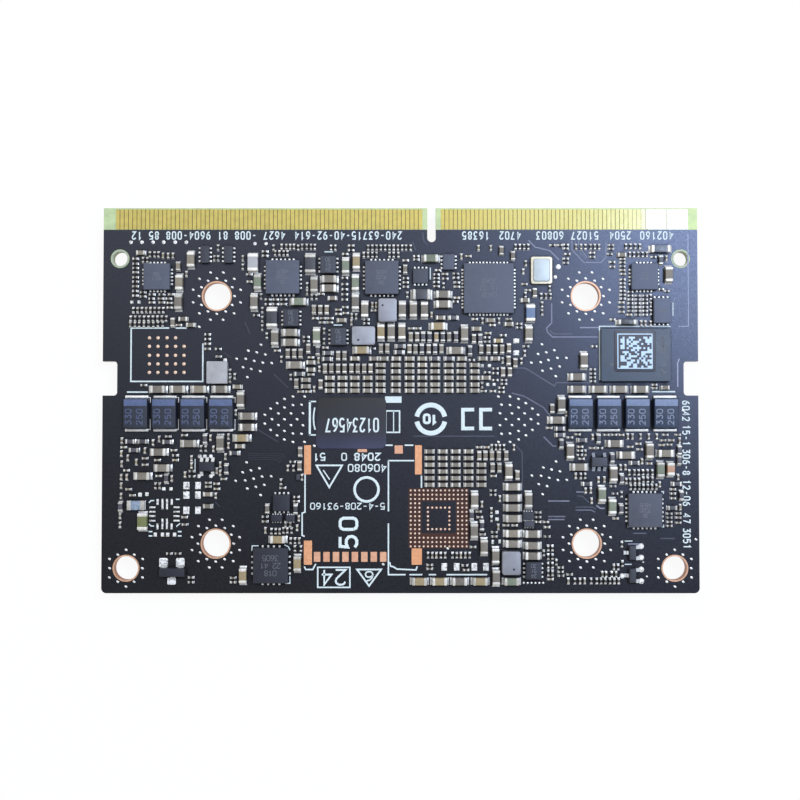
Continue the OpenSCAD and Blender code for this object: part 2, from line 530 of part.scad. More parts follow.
// Lower face
coil_points = [[6.2, 33.5], [63.4, 33.5], [7.5, 9.2], [62.1, 9.2], [20.5, 37.4], [27.5, 37.4],
    [42.3, 37.4], [49.3, 37.4]];
controller_points = [[34.9, 37.2], [21.5, 4.2], [48.3, 4.2]];
memory_x = processor_w / 2 + memory_gap + memory_w / 2;
// Places of a row of chips about its middle
function centred(count, step) = [for (i = [0:count - 1]) (i - (count - 1) / 2) * step];
// Large chips across the card in rows beside the processor
lower_chip_gap = 0.4;
lower_large = [for (s = [-1, 1], x = centred(11, 1.7))
    [middle_x + x, middle_y + s * (processor_w / 2 + lower_chip_gap + large_l / 2)]];
// Medium chips in rows at the ends of the memory packages, and in columns outside them
lower_row_gap = 1.2;
lower_column_gap = 1.3;
lower_across = [for (s = [-1, 1], e = [-1, 1], x = centred(11, 1))
    [middle_x + s * memory_x + x, middle_y + e * (memory_l / 2 + lower_row_gap)]];
lower_along = [for (s = [-1, 1], y = centred(12, 1.1))
    [middle_x + s * (memory_x + memory_w / 2 + lower_column_gap), middle_y + y]];

// Puts its children at a plan place and level
module at(p, z = top_z) {
    translate([p[0] - card_w / 2, p[1] - card_h / 2, z]) children();
}

// Puts its children on the card below a top that shows at a plan place
module stand(p, h) {
    at(upright(p, h)) children();
}

// A block centred in plan that stands on its level
module block(size) {
    translate([-size[0] / 2, -size[1] / 2, 0]) cube(size);
}

// The plan of the card, with the key notch and the retaining notches
module card_plan() {
    difference() {
        union() {
            translate([0, corner_r]) square([card_w, card_h - corner_r]);
            translate([corner_r, 0]) square([card_w - 2 * corner_r, corner_r]);
            for (x = [corner_r, card_w - corner_r]) translate([x, corner_r]) circle(corner_r);
        }
        translate([key_x, card_h - key_d + key_w / 2]) circle(key_w / 2);
        translate([key_x - key_w / 2, card_h - key_d + key_w / 2]) square([key_w, key_d]);
        for (side = [0, 1]) translate([side * card_w, notch_y]) mirror([side, 0]) side_notch();
    }
}

// One retaining notch with rounded inner corners
module side_notch() {
    translate([-beyond, -notch_w / 2]) square([beyond + notch_d - notch_r, notch_w]);
    translate([-beyond, -notch_w / 2 + notch_r]) square([beyond + notch_d, notch_w - 2 * notch_r]);
    for (s = [-1, 1]) translate([notch_d - notch_r, s * (notch_w / 2 - notch_r)]) circle(notch_r);
}

// Circles at a list of plan places
module discs(points, r) {
    for (p = points) translate([p[0], p[1]]) circle(r);
}

// Plan of a list of rectangles, each a centre and a size
module plates(list) {
    for (item = list) translate(item[0] - item[1] / 2) square(item[1]);
}

// Raises a plan drawn from the card's corner to a level
module slab(z, t) {
    translate([-card_w / 2, -card_h / 2, z]) linear_extrude(t) children();
}

function in_ring(i, j) = min(i, j) < ball_ring || max(i, j) >= ball_count - ball_ring;
function on_well(i, j) = i >= ball_well[0] && i <= ball_well[1] && j >= ball_well[0] && j <= ball_well[1]
    && (i == ball_well[0] || i == ball_well[1] || j == ball_well[0] || j == ball_well[1]);
ball_points = [for (i = [0:ball_count - 1], j = [0:ball_count - 1]) if (in_ring(i, j) || on_well(i, j))
    ball_first + ball_pitch * [i, j]];

module laminate() {
    color("palegreen") slab(core_z, core_t) difference() {
        card_plan();
        discs(sink_points, sink_d / 2 + plating_t);
        discs(mount_points, mount_d / 2 + plating_t);
        discs(latch_points, latch_d / 2);
    }
}

// The area that either mask covers
module mask_plan() {
    difference() {
        card_plan();
        translate([-beyond, card_h - bare_strip]) square([card_w + 2 * beyond, bare_strip + beyond]);
        discs(sink_points, sink_d / 2 + ring_w);
        discs(mount_points, mount_d / 2 + ring_w);
        discs(latch_points, latch_d / 2 + latch_rim);
    }
}

module upper_mask() {
    color("#26262c") slab(copper_z, mask_t) difference() {
        mask_plan();
        plates(socket_lands);
        plates(tinned);
        discs(ball_points, ball_d / 2);
        discs(flash_lands, flash_land_r);
        for (p = test_points) translate([p[0], p[1]]) circle(p[2]);
    }
}

module lower_mask() {
    color("#26262c") slab(low_z, mask_t) mask_plan();
}

// One row of contacts, with any wide contacts of its own
module contact_row(z, right_count, wide) {
    xs = concat(run(first_left, contact_pitch, left_contacts), run(first_right, contact_pitch, right_count));
    for (x = xs) at([x, contact_y], z) block([contact_w, contact_l, mask_t]);
    for (c = wide) at([c[0], contact_y], z) block([c[1], contact_l, mask_t]);
}

module upper_contacts() {
    color("#d9cd6c") contact_row(copper_z, right_contacts, wide_contacts);
}

module lower_contacts() {
    color("#d9cd6c") contact_row(low_z, right_contacts_below, []);
}

// A plated hole: the barrel and the copper ring on each face
module plated_hole(d) {
    rotate_extrude() polygon([
        [d / 2, low_z], [d / 2 + ring_w, low_z], [d / 2 + ring_w, core_z], [d / 2 + plating_t, core_z],
        [d / 2 + plating_t, copper_z], [d / 2 + ring_w, copper_z], [d / 2 + ring_w, top_z], [d / 2, top_z]
    ]);
}

module heat_sink_hole_plating() {
    color("#c98b6a") for (p = sink_points) at(p, 0) plated_hole(sink_d);
}

module mounting_hole_plating() {
    color("#c98b6a") for (p = mount_points) at(p, 0) plated_hole(mount_d);
}

module card_socket_lands() {
    color("#eda974") slab(copper_z, mask_t) plates(socket_lands);
}

module ball_lands() {
    color("#eda974") slab(copper_z, mask_t) discs(ball_points, ball_d / 2);
}

module test_lands() {
    color("#eda974") slab(copper_z, mask_t) {
        discs(flash_lands, flash_land_r);
        for (p = test_points) translate([p[0], p[1]]) circle(p[2]);
    }
}

module tinned_lands() {
    color("gainsboro") slab(copper_z, mask_t) plates(tinned);
}

// The body of a chip that lies along X, between its ends
module chip_body(size, end) {
    block([size[0] - 2 * end, size[1] - 2 * end_lip, size[2] - end_lip]);
}

// The two metal ends of a chip that lies along X
module chip_ends(size, end) {
    for (s = [-1, 1]) translate([s * (size[0] - end) / 2, 0, 0]) block([end, size[1], size[2]]);
}

// Chip bodies along and across the card
module bodies(along, across, size, end) {
    for (p = along) stand(p, size[2]) chip_body(size, end);
    for (p = across) stand(p, size[2]) rotate([0, 0, 90]) chip_body(size, end);
}

// Metal ends of the same chips
module ends(along, across, size, end) {
    for (p = along) stand(p, size[2]) chip_ends(size, end);
    for (p = across) stand(p, size[2]) rotate([0, 0, 90]) chip_ends(size, end);
}

module large_capacitor_bodies() {
    color("#b9a78e") bodies(large_along, large_across, large_chip, large_end);
}

module large_capacitor_ends() {
    color("gainsboro") ends(large_along, large_across, large_chip, large_end);
}

module green_capacitor_bodies() {
    color("#8d9a86") bodies(green_along, green_across, large_chip, large_end);
}

module green_capacitor_ends() {
    color("gainsboro") ends(green_along, green_across, large_chip, large_end);
}

module medium_capacitor_bodies() {
    color("#b9a78e") bodies(medium_along, medium_across, medium_chip, medium_end);
}

module medium_capacitor_ends() {
    color("gainsboro") ends(medium_along, medium_across, medium_chip, medium_end);
}

module medium_resistor_bodies() {
    color("#303238") bodies(resistor_along, resistor_across, medium_chip, medium_end);
}

module medium_resistor_ends() {
    color("gainsboro") ends(resistor_along, resistor_across, medium_chip, medium_end);
}

// Whole chips along and across the card
module chips(along, across, size) {
    for (p = along) stand(p, size[2]) block(size);
    for (p = across) stand(p, size[2]) rotate([0, 0, 90]) block(size);
}

module small_capacitors() {
    color("#c6b9a2") chips(small_along, small_across, small_chip);
}

module small_resistors() {
    color("#55575c") chips(small_resistor_along, small_resistor_across, small_chip);
}

module polymer_capacitor_bodies() {
    color("#3c4560") for (p = polymer_points) at(p) polymer_body();
}

// A moulded body with its upper edges tapered in along the sides
module polymer_body() {
    waist = polymer_t / 2;
    half = polymer_w / 2;
    narrow = half - polymer_draft;
    rotate([90, 0, 0]) translate([0, 0, -polymer_l / 2]) linear_extrude(polymer_l) polygon([
        [-narrow, 0], [narrow, 0], [half, waist], [narrow, polymer_t], [-narrow, polymer_t], [-half, waist]
    ]);
}

module polymer_capacitor_feet() {
    color("gainsboro") for (p = polymer_points, s = [-1, 1])
        at(p + [0, s * (polymer_l + polymer_foot) / 2])
            block([polymer_w - 2 * polymer_foot_inset, polymer_foot, polymer_foot_t]);
}

// A flat package body
module flat_body(size, t = flat_t) {
    block([size[0], size[1], t]);
}

// Feet on the two sides of a package that face along X, from their pitch and their count on a side
module side_feet(size, feet) {
    for (s = [-1, 1], i = [0:feet[1] - 1])
        translate([s * (size[0] + foot_l) / 2, (i - (feet[1] - 1) / 2) * feet[0], 0])
            block([foot_l, foot_w, foot_t]);
}

// Feet on the two sides of a package that face along Y
module end_feet(size, feet) {
    rotate([0, 0, 90]) side_feet([size[1], size[0]], feet);
}

// Feet on all four sides of a square package
module square_feet(w, feet) {
    side_feet([w, w], feet);
    end_feet([w, w], feet);
}

module flash_memory() {
    color("#565c6b") stand(flash_point, flash_t) flat_body(flash_size, flash_t);
}

module flash_label() {
    color("gainsboro") at(upright(flash_label_point, flash_t), top_z + flash_t)
        flat_body(flash_label_size, label_t);
}

module card_label() {
    color("#3f4150") at(card_label_point) flat_body(card_label_size, label_t);
}

module hub_controller() {
    color("#565c6b") stand(hub_point, flat_t) flat_body([hub_w, hub_w]);
}

module square_controllers() {
    color("#565c6b") for (p = square_points) stand(p, flat_t) flat_body([square_w, square_w]);
}

module sensor_controllers() {
    color("#44474f") for (p = sensor_points) stand(p, flat_t) flat_body([sensor_w, sensor_w]);
}

module clock_buffer() {
    color("#44474f") stand(clock_point, flat_t) flat_body(clock_size);
}

module wide_pitch_controller() {
    color("#33363e") stand(wide_pitch_point, flat_t) flat_body([wide_pitch_w, wide_pitch_w]);
}

module load_switches() {
    color("#44474f") for (p = switch_points) stand(p, flat_t) flat_body(switch_size);
}

module level_shifters() {
    color("#33363e") for (p = shifter_points) stand(p, shifter_t) flat_body(shifter_size, shifter_t);
}

module small_logic_chips() {
    color("#33363e") {
        for (item = small_logic) stand(item[0], logic_t) flat_body(item[1], logic_t);
        stand(logic_point, tall_logic_t) flat_body(logic_size, tall_logic_t);
    }
}

module converter_feet() {
    color("gainsboro") {
        stand(hub_point, flat_t) square_feet(hub_w, hub_feet);
        for (p = square_points) stand(p, flat_t) square_feet(square_w, square_pack_feet);
        for (p = sensor_points) stand(p, flat_t) square_feet(sensor_w, sensor_feet);
        stand(wide_pitch_point, flat_t) square_feet(wide_pitch_w, wide_pitch_feet);
        stand(clock_point, flat_t) end_feet(clock_size, clock_feet);
    }
}

module switch_feet() {
    color("gainsboro") {
        for (p = switch_points) stand(p, flat_t) side_feet(switch_size, switch_feet_row);
        stand(logic_point, tall_logic_t) end_feet(logic_size, switch_feet_row);
        for (p = shifter_points) stand(p, shifter_t) side_feet(shifter_size, switch_feet_row);
        stand(small_logic[0][0], logic_t) end_feet(small_logic[0][1], logic_feet);
        stand(small_logic[1][0], logic_t) side_feet(small_logic[1][1], logic_feet);
    }
}

// A moulded body with legs, its sides drafted from the middle
module legged_body(size, t) {
    half = size[0] / 2;
    narrow = half - legged_draft;
    low = t * legged_rise[0];
    high = t * legged_rise[1];
    rotate([90, 0, 0]) translate([0, 0, -size[1] / 2]) linear_extrude(size[1]) polygon([
        [-half, low], [-narrow, 0], [narrow, 0], [half, low],
        [half, high], [narrow, t], [-narrow, t], [-half, high]
    ]);
}

// A bent leg that leaves a body towards +Y, from its width, reach and height at the body
module gull_leg(leg) {
    knee = leg[1] * leg_knee;
    rotate([90, 0, 90]) translate([0, 0, -leg[0] / 2]) linear_extrude(leg[0]) polygon([
        [0, leg[2]], [knee, leg[2]], [knee, leg_t], [leg[1], leg_t], [leg[1], 0],
        [knee - leg_t, 0], [knee - leg_t, leg[2] - leg_t], [0, leg[2] - leg_t]
    ]);
}

module supply_transistors() {
    color("#2c2d33") stand(supply_point, supply_t) legged_body(supply_size, supply_t);
}

module supply_transistor_legs() {
    color("gainsboro") stand(supply_point, supply_t) {
        for (x = [-supply_leg_x, supply_leg_x]) translate([x, supply_size[1] / 2, 0]) gull_leg(supply_leg);
        rotate([0, 0, 180]) translate([0, supply_size[1] / 2, 0]) gull_leg(supply_leg);
    }
}

module regulators() {
    color("#33363e") for (p = regulator_points) stand(p, regulator_t) legged_body(regulator_size, regulator_t);
}

module regulator_legs() {
    side = regulator_size[1] / 2;
    color("gainsboro") for (i = [0, 1]) stand(regulator_points[i], regulator_t) rotate([0, 0, i * 180]) {
        for (x = [-1, 0, 1]) translate([x * regulator_leg_x, side, 0]) gull_leg(regulator_leg);
        rotate([0, 0, 180]) for (x = [-1, 1]) translate([x * regulator_leg_x, side, 0]) gull_leg(regulator_leg);
    }
}

module dual_transistors() {
    color("#4a4c52") for (p = dual_points) stand(p, dual_t) rotate([0, 0, 90])
        legged_body([dual_size[1], dual_size[0]], dual_t);
}

module dual_transistor_legs() {
    color("gainsboro") for (p = dual_points) stand(p, dual_t) {
        for (y = [-dual_leg_y, dual_leg_y])
            translate([dual_size[0] / 2, y, 0]) rotate([0, 0, -90]) gull_leg(dual_leg);
        translate([-dual_size[0] / 2, 0, 0]) rotate([0, 0, 90]) gull_leg(dual_leg);
    }
}

module crystal_base() {
    color("#b9a66a") stand(crystal_point, crystal_size[2])
        block([crystal_size[0], crystal_size[1], crystal_size[2] - lid_t]);
}

module crystal_lid() {
    color("#c9d6e6") at(upright(crystal_point, crystal_size[2]), top_z + crystal_size[2] - lid_t)
        block([crystal_size[0] - 2 * lid_inset, crystal_size[1] - 2 * lid_inset, lid_t]);
}

module signal_filter() {
    color("#aebccb") stand(filter_point, filter_size[2]) block(filter_size);
}

module upper_inductors() {
    color("#a9adbb") for (p = inductor_points) stand([p[0], p[1]], inductor_t) rotate([0, 0, p[2]])
        block(inductor_size);
}

module line_choke() {
    color("#9d99ad") stand(choke_point, choke_size[2]) block(choke_size);
}

// A two-ended chip whose long side sets its direction
module two_ended(item, t, part) {
    size = item[1];
    turn = size[1] > size[0] ? 90 : 0;
    chip = [max(size), min(size), t];
    stand(item[0], t) rotate([0, 0, turn]) {
        if (part == "body") chip_body(chip, large_end);
        if (part == "ends") chip_ends(chip, large_end);
    }
}

module black_chip_bodies() {
    color("#2c2d33") for (item = black_chips) two_ended(item, black_t, "body");
}

module black_chip_ends() {
    color("gainsboro") for (item = black_chips) two_ended(item, black_t, "ends");
}

module coloured_chip_bodies() {
    color("#7d8660") for (item = coloured_chips) two_ended(item, coloured_t, "body");
}

module coloured_chip_ends() {
    color("gainsboro") for (item = coloured_chips) two_ended(item, coloured_t, "ends");
}

// Puts its children under the card with their upper side against the mask
module below(p) {
    translate([p[0] - card_w / 2, p[1] - card_h / 2, low_z]) mirror([0, 0, 1]) children();
}

module processor_substrate() {
    color("#2f5a3c") below([middle_x, middle_y]) block([processor_w, processor_w, processor_t]);
}

module processor_frame() {
    inner = processor_w - 2 * frame_w;
    color("silver")
    below([middle_x, middle_y]) translate([0, 0, processor_t]) linear_extrude(frame_t) difference() {
        square(processor_w, center = true);
        square(inner, center = true);
    }
}

module processor_die() {
    color("#5b6370") below([middle_x, middle_y]) translate([0, 0, processor_t]) block([die_l, die_w, die_t]);
}

module memory_packages() {
    color("#25262b")
    for (s = [-1, 1]) below([middle_x + s * memory_x, middle_y]) block([memory_w, memory_l, memory_t]);
}

module power_inductors() {
    color("#6d6f75") for (p = coil_points) below(p) block([coil_w, coil_w, coil_t]);
}

module power_controllers() {
    color("#2c2d33") for (p = controller_points) below(p) block([controller_w, controller_w, flat_t]);
}

module lower_capacitor_bodies() {
    color("#b9a78e") {
        for (p = lower_large) below(p) rotate([0, 0, 90]) chip_body(large_chip, large_end);
        for (p = lower_across) below(p) rotate([0, 0, 90]) chip_body(medium_chip, medium_end);
        for (p = lower_along) below(p) chip_body(medium_chip, medium_end);
    }
}

module lower_capacitor_ends() {
    color("gainsboro") {
        for (p = lower_large) below(p) rotate([0, 0, 90]) chip_ends(large_chip, large_end);
        for (p = lower_across) below(p) rotate([0, 0, 90]) chip_ends(medium_chip, medium_end);
        for (p = lower_along) below(p) chip_ends(medium_chip, medium_end);
    }
}

laminate();
upper_mask();
lower_mask();
upper_contacts();
lower_contacts();
heat_sink_hole_plating();
mounting_hole_plating();
card_socket_lands();
ball_lands();
test_lands();
tinned_lands();
large_capacitor_bodies();
large_capacitor_ends();
green_capacitor_bodies();
green_capacitor_ends();
medium_capacitor_bodies();
medium_capacitor_ends();
medium_resistor_bodies();
medium_resistor_ends();
small_capacitors();
small_resistors();
polymer_capacitor_bodies();
polymer_capacitor_feet();
flash_memory();
flash_label();
card_label();
hub_controller();
square_controllers();
sensor_controllers();
clock_buffer();
wide_pitch_controller();
load_switches();
level_shifters();
small_logic_chips();
converter_feet();
switch_feet();
supply_transistors();
supply_transistor_legs();
regulators();
regulator_legs();
dual_transistors();
dual_transistor_legs();
crystal_base();
crystal_lid();
signal_filter();
upper_inductors();
line_choke();
black_chip_bodies();
black_chip_ends();
coloured_chip_bodies();
coloured_chip_ends();
processor_substrate();
processor_frame();
processor_die();
memory_packages();
power_inductors();
power_controllers();
lower_capacitor_bodies();
lower_capacitor_ends();
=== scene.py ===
import math
import random

import bpy
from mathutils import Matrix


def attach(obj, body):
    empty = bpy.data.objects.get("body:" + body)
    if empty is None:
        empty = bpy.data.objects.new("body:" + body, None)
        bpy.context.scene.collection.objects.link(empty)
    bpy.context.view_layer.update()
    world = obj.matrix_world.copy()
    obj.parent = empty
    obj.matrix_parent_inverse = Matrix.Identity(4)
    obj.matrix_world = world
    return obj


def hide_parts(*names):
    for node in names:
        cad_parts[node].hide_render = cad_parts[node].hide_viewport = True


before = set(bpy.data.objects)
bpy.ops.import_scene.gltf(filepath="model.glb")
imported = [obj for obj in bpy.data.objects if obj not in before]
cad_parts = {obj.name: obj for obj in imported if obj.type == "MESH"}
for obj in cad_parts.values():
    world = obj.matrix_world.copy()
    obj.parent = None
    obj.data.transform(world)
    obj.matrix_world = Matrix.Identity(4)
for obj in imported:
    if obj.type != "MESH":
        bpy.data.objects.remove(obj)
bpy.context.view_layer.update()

# Sizes are in millimetres and become metres where a mesh is made.
MM = 0.001
# Places are written from the card's left edge and from its plain long edge.
CARD_W = 69.6
CARD_H = 45.0
CARD_TOP = 3.2
dice = random.Random(11)


def linear(colour):
    """An sRGB colour written as #rrggbb, as the linear values that a shader takes."""
    parts = [int(colour[i:i + 2], 16) / 255 for i in (1, 3, 5)]
    return [p / 12.92 if p <= 0.04045 else ((p + 0.055) / 1.055) ** 2.4 for p in parts] + [1]


def add(name, data):
    """A new object in the scene."""
    made = bpy.data.objects.new(name, data)
    bpy.context.scene.collection.objects.link(made)
    return made


# Materials


def node(tree, kind, sockets=(), **settings):
    """A new shader node with its settings; sockets is a dictionary of what its inputs hold."""
    made = tree.nodes.new("ShaderNode" + kind)
    for name, value in settings.items():
        setattr(made, name, value)
    for name, value in dict(sockets).items():
        made.inputs[name].default_value = value
    return made


def wire(output, socket):
    output.id_data.links.new(output, socket)


def ramp(tree, factor, stops):
    """A colour ramp with stops of (position, colour)."""
    made = node(tree, "ValToRGB")
    while len(made.color_ramp.elements) < len(stops):
        made.color_ramp.elements.new(0.5)
    for element, (position, colour) in zip(made.color_ramp.elements, stops):
        element.position = position
        element.color = linear(colour)
    wire(factor, made.inputs["Fac"])
    return made.outputs["Color"]


def noise(tree, scale, detail=3):
    """Noise over the object's own coordinates; scale is in turns per metre."""
    spot = node(tree, "TexCoord")
    made = node(tree, "TexNoise", {"Scale": scale, "Detail": detail, "Roughness": 0.55})
    wire(spot.outputs["Object"], made.inputs["Vector"])
    return made.outputs["Fac"]


def mixed(tree, factor, first, second, kind="MIX"):
    """Two colours mixed by factor, which is a number or the output of a node."""
    made = node(tree, "Mix", data_type="RGBA", blend_type=kind)
    if isinstance(factor, float):
        made.inputs[0].default_value = factor
    else:
        wire(factor, made.inputs[0])
    # Of this node's sockets, 6 and 7 take colours, and output 2 gives the mixed one.
    wire(first, made.inputs[6])
    wire(second, made.inputs[7])
    return made.outputs[2]


def spread(tree, factor, low, high, start=0.3, end=0.7):
    """Maps a factor from start to end onto low to high."""
    made = node(tree, "MapRange",
                {"From Min": start, "From Max": end, "To Min": low, "To Max": high})
    wire(factor, made.inputs["Value"])
    return made.outputs["Result"]


def across(tree, stops, axis="X", size=CARD_W):
    """A colour ramp along the card, with stops of (place from the card's corner, colour)."""
    spot = node(tree, "TexCoord")
    parts = node(tree, "SeparateXYZ")
    wire(spot.outputs["Object"], parts.inputs[0])
    share = spread(tree, parts.outputs[axis], 0, 1, -size / 2 * MM, size / 2 * MM)
    return ramp(tree, share, [(place / size, colour) for place, colour in stops])


def upright_share(tree):
    """0 on faces that lie flat, 1 on walls."""
    shape = node(tree, "NewGeometry")
    parts = node(tree, "SeparateXYZ")
    size = node(tree, "Math", operation="ABSOLUTE")
    steep = node(tree, "Math", {1: 0.5}, operation="LESS_THAN")
    wire(shape.outputs["Normal"], parts.inputs[0])
    wire(parts.outputs["Z"], size.inputs[0])
    wire(size.outputs[0], steep.inputs[0])
    return steep.outputs[0]


MATERIALS = {}
# The height of the grain, and the specks of the fine grain by the level of its noise
GRAIN_RISE = 0.01
SPECKS = [(0.35, "#c8c8c8"), (0.6, "#ffffff")]


def surface(name, tones, rough, metal=0.0, grain=2500, fine=30000, bump=0.2, specular=0.5, cloud=0.35,
            gloss="#ffffff", wall=None, along=None, upwards=None, dark="#9a9a9a", clear=0.7):
    """A material whose colour runs through tones by each solid's own tone, with a cloudy and a fine grain.
    rough is (low, high), gloss the tint of its reflections, wall the colour of upright faces, dark the
    darkest cloud, and clear the noise level above which there is no cloud. Where tones is empty, along or
    upwards has the stops of a colour that runs over the card."""
    material = bpy.data.materials.new(name + "_look")
    material.use_nodes = True
    tree = material.node_tree
    shader = tree.nodes["Principled BSDF"]
    for socket, value in (("Metallic", metal), ("Specular IOR Level", specular),
                          ("Specular Tint", linear(gloss))):
        shader.inputs[socket].default_value = value
    if along:
        colour = across(tree, along)
    elif upwards:
        colour = across(tree, upwards, "Y", CARD_H)
    else:
        tone = node(tree, "Attribute", attribute_name="tone")
        steps = max(len(tones) - 1, 1)
        colour = ramp(tree, tone.outputs["Fac"], [(i / steps, c) for i, c in enumerate(tones)])
    if wall:
        side = node(tree, "RGB")
        side.outputs[0].default_value = linear(wall)
        colour = mixed(tree, upright_share(tree), colour, side.outputs[0])
    coarse = noise(tree, grain)
    close = noise(tree, fine, 2)
    for shade in (ramp(tree, coarse, [(0.3, dark), (clear, "#ffffff")]), ramp(tree, close, SPECKS)):
        colour = mixed(tree, cloud, colour, shade, "MULTIPLY")
    height = node(tree, "Bump", {"Strength": bump, "Distance": GRAIN_RISE * MM})
    wire(close, height.inputs["Height"])
    wire(colour, shader.inputs["Base Color"])
    wire(spread(tree, coarse, *rough), shader.inputs["Roughness"])
    wire(height.outputs["Normal"], shader.inputs["Normal"])
    MATERIALS[name] = material


def painted_shade_near_parts(name, reach, dull, glossy):
    """Lets a surface's gloss fall to dull within reach (in millimetres) of the parts that stand on it: a
    painted shade that darkens the gaps between parts.
    """
    shut_in, open_air = 0.45, 0.85
    tree = MATERIALS[name].node_tree
    shade = node(tree, "AmbientOcclusion", {"Distance": reach * MM}, samples=6)
    level = spread(tree, shade.outputs["AO"], dull, glossy, shut_in, open_air)
    wire(level, tree.nodes["Principled BSDF"].inputs["Specular IOR Level"])


COPPER = {"metal": 0.2, "grain": 3000, "bump": 0.1}
MASK_GLOSS = "#d4deff"

# The card
# Paler towards the right: a painted glare.
surface("laminate", [], (0.45, 0.6), grain=900, bump=0.3, wall="#c0c6a4",
        along=[(0, "#bfd2a0"), (50, "#c6d8a0"), (69, "#cfe3a2")])
surface("mask", ["#1c1b1b", "#181718", "#121112"], (0.265, 0.32), grain=3500, fine=12000, bump=0.25,
        cloud=0.5, gloss=MASK_GLOSS)
# Paler towards the right and near white over the wide pads: a painted glare.
surface("gold", [], (0.4, 0.52), metal=0.45, grain=1500, bump=0.08,
        along=[(0, "#c8b764"), (40, "#bfac58"), (56, "#bdb26c"), (63, "#c4bf88"), (64.5, "#e0e1da")])
surface("hole_rim", ["#a9b0a4", "#b9c0b4"], (0.45, 0.6), grain=3000)
# Paler towards the right: the same painted glare as the contacts.
surface("contact_gap", [], (0.5, 0.6), grain=1500, bump=0.1,
        along=[(0, "#655c2e"), (54, "#6c6334"), (61, "#8e8650"), (63, "#d8d4b4")])
surface("copper", ["#e5a274", "#ecac80"], (0.45, 0.6), **COPPER)
surface("dull_copper", ["#dba180", "#e4ae8d"], (0.45, 0.6), **COPPER)
surface("pale_copper", ["#f0dccb", "#f3cfb4"], (0.35, 0.5), **COPPER)
surface("land_copper", ["#935c44"], (0.4, 0.55), **COPPER)
# The darker wall colour is painted shade inside the holes.
surface("copper_ring", ["#d8aa8a"], (0.35, 0.5), metal=0.3, bump=0.12, wall="#b0683a")
surface("ground", ["#38190f", "#4a281e"], (0.5, 0.6), grain=900, bump=0.15, specular=0.3)
# Lighter than the mask: a painted glint on the raised traces.
surface("trace", ["#2a2b2f", "#4e505b", "#a2a5ba"], (0.3, 0.36), grain=900, bump=0.1, gloss=MASK_GLOSS)
# Terminals and solder
surface("tin", ["#cfd0ce", "#ecece9", "#fcfcfa"], (0.3, 0.45), metal=0.4)
surface("ends", ["#bfbcb4", "#d6d3cb", "#efece5"], (0.35, 0.5), metal=0.35, bump=0.3)
# Near white with deep dark blotches: painted reflections of light and dark surroundings in shiny solder.
surface("solder_painted_reflections", ["#f6f6f4", "#ffffff"], (0.25, 0.4), metal=0.1, grain=3400, bump=0.3, cloud=0.85,
        dark="#2c2c30", clear=0.52)
surface("leg_tin", [], (0.3, 0.45), metal=0.4, along=[(0, "#ecece9"), (20, "#ecece9"), (50, "#82858c")])
surface("solder", ["#b4b5b5", "#d4d5d4", "#f2f3f2"], (0.25, 0.4), metal=0.45, bump=0.25)
# Two-ended chips
surface("beige", ["#706a62", "#8a8377", "#a08f6c"], (0.5, 0.62))
surface("green", ["#6b7462", "#808a77", "#a08f6c"], (0.5, 0.6))
surface("film", ["#1b1c20", "#2d2e35", "#4e5668"], (0.3, 0.45), bump=0.15)
surface("grey_film", ["#3a3d44", "#66626c"], (0.35, 0.5), bump=0.15)
surface("mixed_film", ["#1c1c20", "#2e2e31", "#6f695f"], (0.35, 0.5), bump=0.15)
surface("olive", ["#62683f", "#747a4e"], (0.5, 0.6))
surface("pink", ["#b0886e", "#c59a80"], (0.5, 0.6))
surface("blue", ["#5a7096", "#6a80a5"], (0.45, 0.55))
# Moulded bodies, labels and prints
surface("polymer", ["#262b39", "#262f42", "#22344e"], (0.45, 0.58), grain=900, bump=0.25, specular=0.4)
# Paler towards the right: a painted glare.
surface("polymer_band", [], (0.45, 0.6), along=[(0, "#52628a"), (50, "#5f6f92"), (69, "#7f8fb0")])
surface("resin", ["#17171a", "#27272b", "#37383d", "#4b4e57", "#5b6274"], (0.5, 0.62), grain=1200,
        bump=0.35, specular=0.6, gloss="#dde5ff")
surface("blue_resin", ["#3c4759", "#465467"], (0.45, 0.58), grain=1200, bump=0.3)
surface("print", ["#565a66", "#8a8f9c"], (0.55, 0.65), bump=0.1)
# Paler towards the right: a painted glare.
surface("polymer_ink", [], (0.45, 0.6), along=[(0, "#414d70"), (50, "#66728f"), (69, "#7c879f")])
surface("ink", ["#cedee2", "#e1eef0"], (0.55, 0.7), grain=4000, cloud=0.2)
surface("label", ["#20212b", "#2c3042"], (0.42, 0.5), grain=300, bump=0.06)
# Paler and bluer on its side nearer the plain edge: a painted sheen.
surface("card_label", [], (0.45, 0.52), grain=300, bump=0.06, specular=0.35,
        upwards=[(17, "#3b3e58"), (18.6, "#2b2c3a"), (22.5, "#161619")])
surface("paper", ["#b2d0ee", "#cbe1f5"], (0.5, 0.6), bump=0.1, cloud=0.15)
surface("lid", ["#aab5ba", "#b7c1c6"], (0.42, 0.52), metal=0.3, grain=700, bump=0.1)
surface("rim", ["#cfc7ac", "#dcd5c0"], (0.35, 0.5), metal=0.3, bump=0.15, wall="#94804c")
surface("filter", ["#869bb8", "#c0cfdf"], (0.4, 0.5), grain=3500, bump=0.15, cloud=0.8)
surface("ferrite", ["#8e9099", "#a5a8b2"], (0.38, 0.5), metal=0.25, grain=500, bump=0.15)
surface("choke", ["#8c8d94", "#b0b1b6"], (0.4, 0.55), grain=800, bump=0.3)
# The lower face
surface("substrate", ["#12391f", "#1c4a2a"], (0.35, 0.5), grain=700, bump=0.12)
surface("frame_metal", ["#7c7f83", "#9a9da1"], (0.3, 0.45), metal=0.9, grain=1500)
surface("silicon", ["#5a6170", "#747c8c"], (0.08, 0.16), metal=0.6, grain=300, bump=0.02)
surface("coil", ["#3a3b3f", "#4c4d52"], (0.45, 0.6), grain=1400, bump=0.4)

# Painted shade: the mask's gloss falls by ambient occlusion between the parts.
painted_shade_near_parts("mask", 0.55, 0.1, 0.5)

# Shapes


